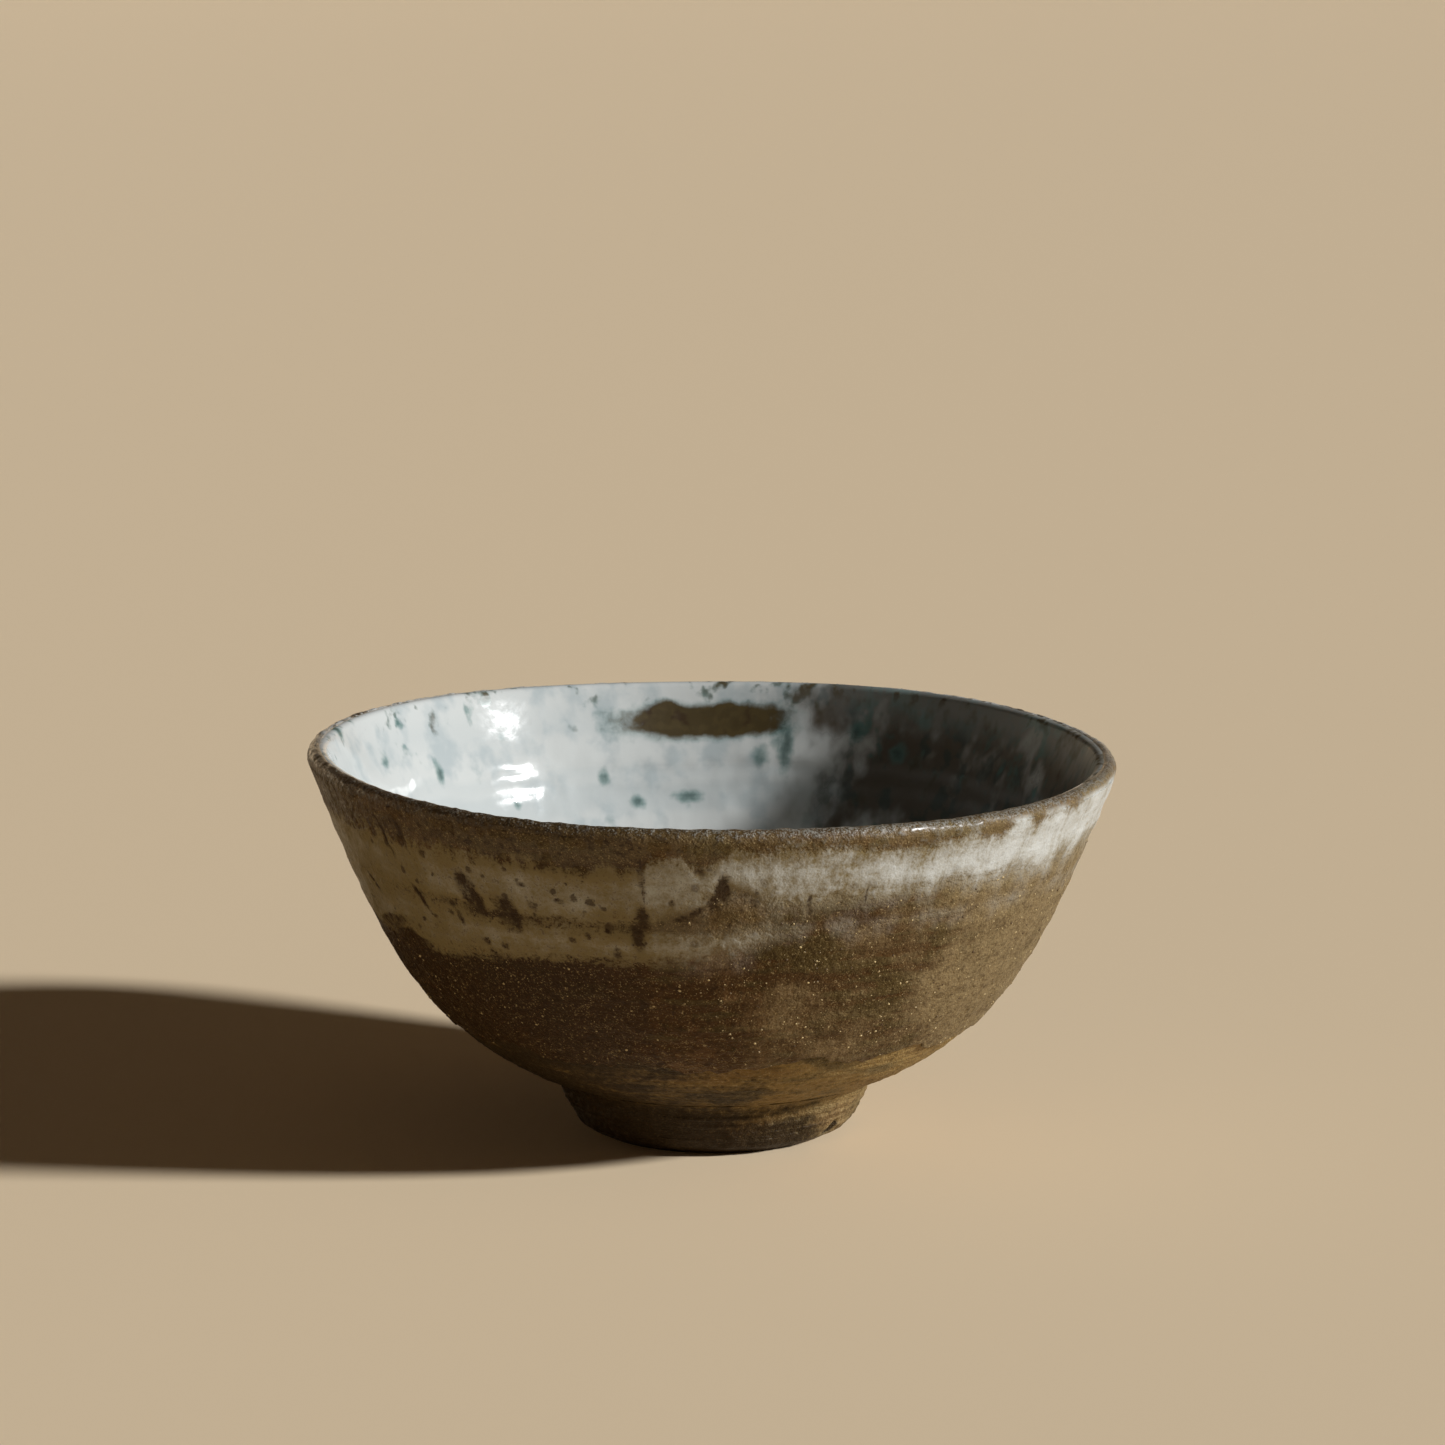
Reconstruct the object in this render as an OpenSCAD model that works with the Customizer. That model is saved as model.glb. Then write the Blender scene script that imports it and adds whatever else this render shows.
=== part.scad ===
// Matcha bowl: a thrown stoneware bowl on a foot ring, glazed white inside and brown and white outside.
// All sizes are in millimetres. The bowl stands on the plane z = 0 with its axis on z.
// The -y side is the front, and +x is to the right when the front is looked at.

/* [Bowl] */
// Outside diameter of the finished lip
rim_d = 128; // [112:1:144]
// Height of the finished lip above the table
bowl_h = 61; // [54:1:70]
// Thickness of the clay at the lip
lip_t = 2.4; // [1.8:0.1:4]
// Thickness of the clay wall where it leaves the foot
wall_t = 5; // [4:0.5:6.5]
// Thickness of the clay floor above the recess in the foot
floor_t = 5; // [3.5:0.5:6]

/* [Belly curve] */
// Rise of the wall where it leaves the foot, in degrees above level
belly_angle = 19; // [15:1:24]
// How far the wall keeps to that first rise
belly_reach = 24; // [18:0.5:28]
// Rise of the wall at the lip, in degrees above level
lip_angle = 67; // [60:1:74]
// How far below the lip the wall keeps to that last rise
lip_reach = 25; // [18:0.5:32]

/* [Foot ring] */
// Diameter of the foot ring where the bowl sits on it
foot_top_d = 50.5; // [46:0.5:56]
// Diameter of the foot ring at the table
foot_base_d = 38; // [35:0.5:42]
// Height of the foot ring
foot_h = 9; // [8:0.5:11]
// How far the side of the foot swells outside a straight cone
foot_swell = 1; // [0.4:0.1:1.6]
// Width of the bottom of the ring, between its outside and its bore
foot_land_w = 4.5; // [3.5:0.25:6]
// Rounding of the two edges that the ring stands on
foot_edge_r = 0.8; // [0.4:0.1:1.4]
// Depth of the recess inside the ring
recess_d = 5; // [4.5:0.25:6.5]

/* [Glaze] */
// Thickness of the white glaze on the inside wall
lining_t = 0.6; // [0.3:0.1:1]
// Extra depth of the glaze that has pooled in the middle of the floor
pool_t = 0.8; // [0:0.1:1.6]
// Thickness of the glaze over the lip
lip_glaze_t = 0.4; // [0.2:0.1:0.8]
// How far the lip glaze comes down the outside from the top of the lip
lip_glaze_drop = 5; // [3:0.5:7]
// Thickness of the white glaze outside
white_t = 0.5; // [0.3:0.1:0.9]
// Thickness of the brown glaze outside
brown_t = 0.4; // [0.2:0.1:0.8]
// How far below the lip the dip line between white and brown glaze lies, on the bowl's axis
dip_drop = 17.5; // [15:0.5:21]
// Slope of the dip line, up to the right, in degrees
dip_slope = 7; // [0:0.5:9]
// Height of the ledge where the brown glaze stops, above the foot ring
ledge_rise = 11; // [7:0.5:16]

/* [Hidden] */
$fn = 96;
wall_steps = 28;
floor_steps = 10;
round_steps = 8;
search_steps = 30;

// The lip is a half circle that caps the wall, with its centre lip_c.
lip_r = lip_t / 2;
lip_c = [rim_d / 2 - lip_glaze_t - lip_r, bowl_h - lip_glaze_t - lip_r];
lip_out = lip_c + lip_r * heading(lip_angle - 90);

// The ring's bore takes a round boss under the bowl's floor.
foot_top_r = foot_top_d / 2;
foot_base_r = foot_base_d / 2;
bore_r = foot_base_r - foot_land_w;
floor_z = recess_d + floor_t;

// Outside of the clay wall, as points of radius and height.
wall_curve = [
    [foot_top_r, foot_h],
    [foot_top_r, foot_h] + belly_reach * heading(belly_angle),
    lip_out - lip_reach * heading(lip_angle),
    lip_out
];

// Places on the wall, from 0 at the foot to 1 at the lip, where the outside glazes begin and end.
ledge_s = wall_place(foot_h + ledge_rise);
drop_s = wall_place(bowl_h - lip_glaze_drop);

function heading(a) = [cos(a), sin(a)];
function left_of(v) = [-v[1], v[0]];
function bezier(p, s) =
    pow(1 - s, 3) * p[0] + 3 * s * pow(1 - s, 2) * p[1] + 3 * s * s * (1 - s) * p[2] + pow(s, 3) * p[3];
function bezier_heading(p, s) =
    let (v = pow(1 - s, 2) * (p[1] - p[0]) + 2 * s * (1 - s) * (p[2] - p[1]) + s * s * (p[3] - p[2]))
    v / norm(v);
function steps(from, to, count) = [for (i = [0 : count]) from + (to - from) * i / count];
function backwards(list) = [for (i = [len(list) - 1 : -1 : 0]) list[i]];
function after_first(list) = [for (i = [1 : len(list) - 1]) list[i]];
function arc(centre, r, from, to) = [for (a = steps(from, to, round_steps)) centre + r * heading(a)];

function wall_out(s) = bezier(wall_curve, s);
function wall_in_heading(s) = left_of(bezier_heading(wall_curve, s));
// A point on the wall, moved in through the clay or, where depth is negative, out into the glaze.
function wall_point(s, depth) = wall_out(s) + depth * wall_in_heading(s);
function clay_t(s) = wall_t + (lip_t - wall_t) * s;
function wall_place(z, low = 0, high = 1, left = search_steps) =
    let (middle = (low + high) / 2)
    left == 0 ? middle
    : wall_out(middle)[1] < z ? wall_place(z, middle, high, left - 1)
    : wall_place(z, low, middle, left - 1);

// Inside of the bowl: the floor runs from the axis to floor_end, and the wall goes on up to the lip.
// rise is how far the surface lies above the clay, and pool is what is added to that on the axis.
function inside_wall(rise) = [for (s = steps(0, 1, wall_steps)) wall_point(s, clay_t(s) + rise)];
function floor_curve(rise, pool) =
    let (
        floor_end = wall_point(0, wall_t + rise),
        middle_z = floor_z + rise + pool,
        run = min(floor_end[0] / 2, (floor_end[1] - middle_z) / sin(belly_angle))
    )
    [[0, middle_z], [floor_end[0] / 2, middle_z], floor_end - run * heading(belly_angle), floor_end];
function inside_floor(rise, pool) =
    [for (i = [0 : floor_steps - 1]) bezier(floor_curve(rise, pool), i / floor_steps)];
function inside(rise, pool) = concat(inside_floor(rise, pool), inside_wall(rise));

function outside(from, to, coat) = [for (s = steps(from, to, wall_steps)) wall_point(s, -coat)];
function lip_cap(coat) = arc(lip_c, lip_r + coat, lip_angle - 90, lip_angle + 90);
// Up the outside from one place on the wall, and over the lip to the inside.
function over_lip(from, coat) = concat(outside(from, 1, coat), after_first(lip_cap(coat)));

// Side of the foot ring, from its lower edge up to the seat of the bowl.
foot_chord = [foot_top_r - foot_base_r, foot_h];
foot_belly = [foot_base_r, 0] + foot_chord / 2 - 2 * foot_swell * left_of(foot_chord) / norm(foot_chord);
function foot_side(s) =
    pow(1 - s, 2) * [foot_base_r, foot_edge_r] + 2 * s * (1 - s) * foot_belly + s * s * [foot_top_r, foot_h];

module turned(profile) {
    rotate_extrude() polygon(profile);
}

// Everything above the sloping line that the white glaze was dipped to.
module above_dip() {
    reach = 2 * rim_d;
    translate([0, 0, bowl_h - dip_drop]) rotate([0, -dip_slope, 0])
        translate([-reach / 2, -reach / 2, 0]) cube([reach, reach, reach / 2]);
}

// Thrown wall and floor, with the boss that sits in the foot ring.
module clay_bowl() {
    under = [[0, recess_d], [bore_r, recess_d], [bore_r, foot_h]];
    over = concat(over_lip(0, 0), after_first(backwards(inside(0, 0))));
    color("#5b4128") turned(concat(under, over));
}

// Ring that carries the bowl, flat where it stands and bored for the boss.
module foot_ring() {
    outer_edge = arc([foot_base_r - foot_edge_r, foot_edge_r], foot_edge_r, -90, 0);
    inner_edge = arc([bore_r + foot_edge_r, foot_edge_r], foot_edge_r, 180, 270);
    side = [for (s = steps(0, 1, round_steps)) foot_side(s)];
    color("#4a3420") turned(concat(inner_edge, outer_edge, after_first(side), [[bore_r, foot_h]]));
}

// Glassy lining of the bowl, deepest in the middle of the floor.
module inside_white_glaze() {
    color("#c9cdca") turned(concat(inside(0, 0), backwards(inside(lining_t, pool_t))));
}

// Thin brown glaze over the lip, between the lining and the white band outside.
module lip_glaze() {
    color("#4c3a26") turned(concat(over_lip(drop_s, lip_glaze_t), backwards(over_lip(drop_s, 0))));
}

// Coat of glaze on the outside wall, from the ledge up to the lip glaze.
module outside_coat(coat) {
    turned(concat(outside(ledge_s, drop_s, coat), backwards(outside(ledge_s, drop_s, 0))));
}

module outside_white_glaze() {
    color("#a9a595")
        intersection() {
            outside_coat(white_t);
            above_dip();
        }
}

module outside_brown_glaze() {
    color("#5d4629")
        difference() {
            outside_coat(brown_t);
            above_dip();
        }
}

clay_bowl();
foot_ring();
inside_white_glaze();
lip_glaze();
outside_white_glaze();
outside_brown_glaze();
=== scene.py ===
import math

import bpy
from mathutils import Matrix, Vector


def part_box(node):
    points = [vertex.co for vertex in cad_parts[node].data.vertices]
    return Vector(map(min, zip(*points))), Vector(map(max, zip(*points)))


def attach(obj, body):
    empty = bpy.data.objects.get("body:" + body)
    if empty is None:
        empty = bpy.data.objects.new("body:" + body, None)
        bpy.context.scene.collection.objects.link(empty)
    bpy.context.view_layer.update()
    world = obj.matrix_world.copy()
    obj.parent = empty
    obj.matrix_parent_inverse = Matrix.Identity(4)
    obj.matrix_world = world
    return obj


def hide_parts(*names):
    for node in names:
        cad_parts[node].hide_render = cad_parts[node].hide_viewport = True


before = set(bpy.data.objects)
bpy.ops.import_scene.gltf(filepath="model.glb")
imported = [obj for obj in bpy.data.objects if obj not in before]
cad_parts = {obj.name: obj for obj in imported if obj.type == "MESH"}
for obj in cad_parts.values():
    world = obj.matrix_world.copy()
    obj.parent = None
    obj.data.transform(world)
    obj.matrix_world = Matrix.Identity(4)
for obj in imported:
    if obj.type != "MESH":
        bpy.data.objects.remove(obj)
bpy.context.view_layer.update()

bl_info = {
    "name": "Matcha Bowl",
    "version": (1, 0, 0),
    "blender": (4, 5, 0),
    "location": "3D View > Sidebar > Bowl",
    "description": "Builds a thrown and glazed tea bowl over its solids",
    "category": "Object",
}

MM = 0.001
BODY = "root"


# Sizes that the solids give


def solid_radius(node):
    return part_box(node)[1].x


def solid_top(node):
    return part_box(node)[1].z


def solid_bottom(node):
    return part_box(node)[0].z


def radii_at(node, height):
    """Smallest and largest radius of a solid's points at one height."""
    near = 0.01 * MM
    points = [v.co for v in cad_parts[node].data.vertices]
    radii = [math.hypot(p.x, p.y) for p in points if abs(p.z - height) < near]
    return min(radii), max(radii)


RIM_RADIUS = solid_radius("lip_glaze")
LIP_HEIGHT = solid_top("lip_glaze")
LIP_COAT = RIM_RADIUS - solid_radius("clay_bowl")
FOOT_RADIUS = solid_radius("foot_ring")
FOOT_HEIGHT = solid_top("foot_ring")
BORE_RADIUS = radii_at("foot_ring", FOOT_HEIGHT)[0]
FOOT_EDGE = radii_at("foot_ring", 0)[0] - BORE_RADIUS
FOOT_BASE_RADIUS = radii_at("foot_ring", 0)[1] + FOOT_EDGE
RECESS_DEPTH = solid_bottom("clay_bowl")
FLOOR_HEIGHT = solid_bottom("inside_white_glaze")
LEDGE_HEIGHT = solid_bottom("outside_brown_glaze")


# What a user would change


def length(name, description, default):
    return bpy.props.FloatProperty(
        name=name, description=description, default=default, unit="LENGTH", subtype="DISTANCE", precision=5
    )


def angle(name, description, degrees):
    return bpy.props.FloatProperty(
        name=name, description=description, default=math.radians(degrees), unit="ROTATION", subtype="ANGLE"
    )


def colour(name, description, red, green, blue):
    return bpy.props.FloatVectorProperty(
        name=name,
        description=description,
        default=(red, green, blue, 1),
        size=4,
        subtype="COLOR",
        min=0,
        max=1,
    )


def strength(name, description, default):
    return bpy.props.FloatProperty(name=name, description=description, default=default)


class BowlSizes(bpy.types.PropertyGroup):
    rim_radius: length("Rim radius", "Outside radius of the finished lip", RIM_RADIUS)
    lip_height: length("Lip height", "Height of the finished lip", LIP_HEIGHT)
    lip_thickness: length("Lip thickness", "Thickness of the clay at the lip", 2.4 * MM)
    wall_thickness: length("Wall thickness", "Thickness of the clay above the foot", 5 * MM)
    belly_angle: angle("Belly angle", "Rise of the wall where it leaves the foot", 19)
    belly_reach: length("Belly reach", "How far the wall keeps to its first rise", 24 * MM)
    lip_angle: angle("Lip angle", "Rise of the wall at the lip", 67)
    lip_reach: length("Lip reach", "How far the wall keeps to its last rise", 25 * MM)
    foot_radius: length("Foot radius", "Radius of the foot under the bowl", FOOT_RADIUS)
    foot_base_radius: length("Foot base radius", "Radius of the foot at the table", FOOT_BASE_RADIUS)
    foot_height: length("Foot height", "Height of the foot ring", FOOT_HEIGHT)
    foot_swell: length("Foot swell", "How far the foot swells outside a cone", 1 * MM)
    foot_flare: length("Foot flare", "How far the foot blends into the wall", 1.8 * MM)
    foot_edge: length("Foot edge", "Rounding of the edges that the foot stands on", FOOT_EDGE)
    bore_radius: length("Bore radius", "Radius of the hollow in the foot", BORE_RADIUS)
    recess_depth: length("Recess depth", "Depth of the hollow in the foot", RECESS_DEPTH)
    floor_height: length("Floor height", "Height of the clay floor", FLOOR_HEIGHT)
    rim_tilt: length("Rim tilt", "How much higher the left of the rim is than the right", 1.7 * MM)
    rim_shift: length("Rim shift", "How far the rim lies to the left of the foot", 0.5 * MM)
    rim_waver: length("Rim waver", "How far the rim departs from a true circle", 0.45 * MM)


class GlazeSizes(bpy.types.PropertyGroup):
    lining: length("Lining", "Thickness of the white glaze inside", 0.6 * MM)
    pool: length("Pool", "Extra depth of glaze in the middle of the floor", 0.8 * MM)
    lip_coat: length("Lip coat", "Thickness of the glaze over the lip", LIP_COAT)
    brown_coat: length("Brown coat", "Thickness of the brown glaze", 0.4 * MM)
    white_coat: length("White coat", "Thickness of the white glaze over the brown", 0.14 * MM)
    ledge_height: length("Ledge height", "Height where the brown glaze stops", LEDGE_HEIGHT)
    ring_depth: length("Ring depth", "Depth of the throwing rings inside", 0.32 * MM)
    line_pitch: length("Turning line pitch", "Spacing of the turning lines above the foot", 1.1 * MM)
    line_depth: length("Turning line depth", "Depth of the turning lines", 0.07 * MM)
    grain_radius: length("Grain radius", "Radius of the largest grains in the brown glaze", 0.32 * MM)
    sand_radius: length("Sand radius", "Radius of the largest grains on the lip", 0.12 * MM)


class GlazeColours(bpy.types.PropertyGroup):
    white: colour("White", "White glaze outside, where it is thick", 0.512, 0.528, 0.51)
    thin_white: colour("Thin white", "White glaze that the brown shows through", 0.185, 0.142, 0.066)
    brown: colour("Brown", "Brown glaze", 0.062, 0.0292, 0.0076)
    rust: colour("Rust", "Rusty patches in the brown glaze", 0.096, 0.039, 0.0105)
    olive: colour("Olive", "Olive patches in the brown glaze", 0.068, 0.047, 0.0145)
    ashy: colour("Ashy brown", "Brown glaze that ash has paled", 0.2, 0.146, 0.072)
    # Scar is also the colour of the painted shade on the left of the brown glaze.
    scar: colour("Scar", "Bare marks in the white glaze", 0.03, 0.0145, 0.0052)
    fleck: colour("Fleck", "Pale grains in the brown glaze", 0.52, 0.4, 0.2)
    crest: colour("Crest", "Ashy glaze on top of the lip", 0.265, 0.26, 0.23)
    clay: colour("Clay", "Turned clay above the foot", 0.218, 0.137, 0.04)
    # Dark clay is also the colour of the painted shade to the left of the clay and in the chip.
    dark_clay_and_shade: colour("Dark clay", "Burnt clay in the turning lines and at the base", 0.027, 0.0158, 0.0062)
    foot_clay: colour("Foot clay", "Turned clay of the foot", 0.132, 0.082, 0.031)
    lining: colour("Lining", "White glaze inside", 0.54, 0.562, 0.55)
    pooled: colour("Pooled", "Blue-grey of the glaze where it is deep", 0.375, 0.427, 0.438)
    teal: colour("Teal", "Copper-green spots in the lining", 0.07, 0.17, 0.16)
    pit: colour("Pit", "Dark middle of the copper spots", 0.015, 0.04, 0.035)
    # Painted shade: the dark colour that the right side of the inside is painted with in place of its shade.
    painted_shade_colour: colour("Grimy", "Lining where it is thin and stained", 0.053, 0.0355, 0.0165)
    bare: colour("Bare", "Patch inside that the white glaze left bare", 0.052, 0.036, 0.012)


class StageLook(bpy.types.PropertyGroup):
    floor: colour("Floor", "Colour of the floor and backdrop", 0.82, 0.665, 0.46)
    key_strength: strength("Key strength", "Strength of the main lamp", 4.4)
    key_spread: angle("Key spread", "How wide the main lamp looks from the bowl", 6)
    key_height: angle("Key height", "How high the main lamp stands", 25.8)
    key_side: angle("Key side", "How far the main lamp stands to the right of the front", 72.9)
    fill: strength("Fill", "Strength of the light from all sides", 0.045)
    fill_tint: colour("Fill tint", "Colour of the light from all sides", 1, 0.7, 0.45)
    camera_back: length("Camera distance", "How far the camera stands in front of the bowl", 933.1 * MM)
    camera_up: length("Camera height", "Height of the camera above the table", 240.4 * MM)
    camera_side: length("Camera side", "How far the camera stands to the right", 1.35 * MM)
    camera_dip: angle("Camera dip", "How far the camera looks down", 10.635)


# Node trees written as expressions


# Standard deviation of one octave of the noise texture about its middle.
NOISE_SPREAD = 0.11


def open_socket(sockets, key):
    """A socket that is in use, by its name or by its place among those in use."""
    used = [s for s in sockets if s.enabled]
    if isinstance(key, int):
        return used[key]
    return next(s for s in used if s.name == key)


class Wire:
    """An output socket. Arithmetic on it adds Math nodes to its tree."""

    def __init__(self, graph, socket):
        self.graph = graph
        self.socket = socket

    def beside(self, name):
        """Another output of the same node."""
        return Wire(self.graph, open_socket(self.socket.node.outputs, name))

    def math(self, operation, *others):
        return self.graph.maths(operation, self, *others)

    def __add__(self, other):
        return self.math("ADD", other)

    __radd__ = __add__

    def __mul__(self, other):
        return self.math("MULTIPLY", other)

    __rmul__ = __mul__

    def __sub__(self, other):
        return self.math("SUBTRACT", other)

    def __rsub__(self, other):
        return self.graph.maths("SUBTRACT", other, self)

    def __truediv__(self, other):
        return self.math("DIVIDE", other)

    def __rtruediv__(self, other):
        return self.graph.maths("DIVIDE", other, self)

    def __pow__(self, other):
        return self.math("POWER", other)

    def __neg__(self):
        return self * -1

    def least(self, other):
        return self.math("MINIMUM", other)

    def most(self, other):
        return self.math("MAXIMUM", other)

    def sine(self):
        return self.math("SINE")

    def cosine(self):
        return self.math("COSINE")

    def root(self):
        return self.math("SQRT")

    def leg(self, start, end):
        """0 up to start, 1 from end on, and a straight rise between."""
        spread = {"From Min": start, "From Max": end, "Value": self}
        return self.graph.node("ShaderNodeMapRange", {"clamp": True}, spread)

    def step(self, start, end):
        """As leg, with a smooth rise. It falls where end is below start."""
        spread = {"From Min": start, "From Max": end, "Value": self}
        return self.graph.node("ShaderNodeMapRange", {"interpolation_type": "SMOOTHSTEP"}, spread)


class Graph:
    """A node tree, written with wires."""

    def __init__(self, tree):
        self.tree = tree

    def node(self, kind, settings=None, inputs=None, output=0):
        """Adds a node, sets it up, fills its sockets with values or wires, and gives one of its outputs."""
        made = self.tree.nodes.new(kind)
        for name, value in (settings or {}).items():
            if name == "curve":
                draw_curve(made.mapping, value)
            else:
                setattr(made, name, value)
        for name, value in (inputs or {}).items():
            socket = open_socket(made.inputs, name)
            wires = value if isinstance(value, list) else [value]
            for wire in wires:
                if isinstance(wire, Wire):
                    self.tree.links.new(wire.socket, socket)
                else:
                    socket.default_value = wire
        return Wire(self, open_socket(made.outputs, output))

    def maths(self, operation, *values):
        return self.node("ShaderNodeMath", {"operation": operation}, dict(enumerate(values)))

    def vectors(self, operation, *values):
        return self.node("ShaderNodeVectorMath", {"operation": operation}, dict(enumerate(values)))

    def combine(self, x, y, z):
        return self.node("ShaderNodeCombineXYZ", inputs={"X": x, "Y": y, "Z": z})

    def separate(self, vector):
        x = self.node("ShaderNodeSeparateXYZ", inputs={"Vector": vector})
        return x, x.beside("Y"), x.beside("Z")

    def noise(self, vector, size, seed, detail=2, roughness=0.5):
        """Noise about 0, mostly within two units of it, whose features are about as wide as size."""
        octaves = [roughness**i for i in range(detail + 1)]
        spread = NOISE_SPREAD * math.hypot(*octaves) / sum(octaves)
        sockets = {"Vector": vector, "W": seed, "Scale": 1 / size, "Detail": detail, "Roughness": roughness}
        raw = self.node("ShaderNodeTexNoise", {"noise_dimensions": "4D"}, sockets)
        return raw.math("MULTIPLY_ADD", 1 / spread, -0.5 / spread)

    def use(self, formula, inputs, output=0):
        """Adds a formula as one node."""
        return self.node("GeometryNodeGroup", {"node_tree": formula.tree}, inputs, output)

    def mix(self, share, first, second):
        """The first colour where share is 0, and the second where it is 1."""
        sockets = {"Factor": share, "A": first, "B": second}
        return self.node("ShaderNodeMix", {"data_type": "RGBA"}, sockets)


def draw_curve(mapping, stops):
    """Puts a Float Curve's points at the given stops, from 0 to 1 both ways."""
    line = mapping.curves[0]
    while len(line.points) < len(stops):
        line.points.new(0.5, 0.5)
    for point, stop in zip(line.points, sorted(stops)):
        point.location = stop
    mapping.update()


class Formula(Graph):
    """A node group with named inputs and outputs, which other trees use as one node."""

    def __init__(self, name):
        super().__init__(bpy.data.node_groups.new(name, "GeometryNodeTree"))
        self.inlet = self.tree.nodes.new("NodeGroupInput")
        self.outlet = self.tree.nodes.new("NodeGroupOutput")
        self.sizes = {}

    def size(self, name, value=0.0):
        """A named input, with the value that it has until another is given."""
        item = self.tree.interface.new_socket(name, in_out="INPUT", socket_type="NodeSocketFloat")
        item.default_value = value
        self.sizes[item.identifier] = value
        return Wire(self, self.inlet.outputs[name])

    def give(self, name, wire, kind="NodeSocketFloat"):
        """A named output."""
        self.tree.interface.new_socket(name, in_out="OUTPUT", socket_type=kind)
        self.tree.links.new(wire.socket, self.outlet.inputs[name])


class Growth(Formula):
    """A Geometry Nodes tree that makes one piece."""

    def __init__(self, name):
        super().__init__(name)
        self.tree.interface.new_socket("Geometry", in_out="INPUT", socket_type="NodeSocketGeometry")

    def chance(self, most, seed):
        """A number from 0 to most for each point, the same on each run."""
        sockets = {"Min": 0.0, "Max": most, "Seed": seed}
        return self.node("FunctionNodeRandomValue", {"data_type": "FLOAT"}, sockets)

    def base(self):
        """The geometry that the modifier is given."""
        return Wire(self, self.inlet.outputs["Geometry"])

    def grow(self, piece_name, geometry, material, base=None):
        """Ends the tree and gives an object that holds what it makes as a plain mesh."""
        real = self.node("GeometryNodeRealizeInstances", inputs={"Geometry": geometry})
        smooth = self.node("GeometryNodeSetShadeSmooth", inputs={"Geometry": real})
        dressed = self.node("GeometryNodeSetMaterial", inputs={"Geometry": smooth, "Material": material})
        self.give("Geometry", dressed, "NodeSocketGeometry")
        piece = bpy.data.objects.new(piece_name, base or bpy.data.meshes.new(piece_name))
        bpy.context.scene.collection.objects.link(piece)
        modifier = piece.modifiers.new(piece_name, "NODES")
        modifier.node_group = self.tree
        for identifier, value in self.sizes.items():
            modifier[identifier] = value
        depsgraph = bpy.context.evaluated_depsgraph_get()
        grown = bpy.data.meshes.new_from_object(
            piece.evaluated_get(depsgraph), preserve_all_data_layers=True, depsgraph=depsgraph
        )
        piece.modifiers.remove(modifier)
        piece.data = grown
        if not grown.polygons:
            raise RuntimeError(f"{piece_name} came out empty")
        return piece


# The thrown wall


COLUMNS = 640
NEWTON_STEPS = 3
SUNK = 0.05 * MM
WELD = 0.001 * MM
RING_PITCH = 5.2 * MM
RING_SHARE = 0.15
FRONT_SEAM, BACK_SEAM = 0.0, 0.5


def bezier(points, s):
    a, b, c, d = points
    t = 1 - s
    return a * t * t * t + 3 * b * s * t * t + 3 * c * s * s * t + d * s * s * s


def bezier_slope(points, s):
    a, b, c, d = points
    t = 1 - s
    return 3 * ((b - a) * t * t + 2 * (c - b) * s * t + (d - c) * s * s)


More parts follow.
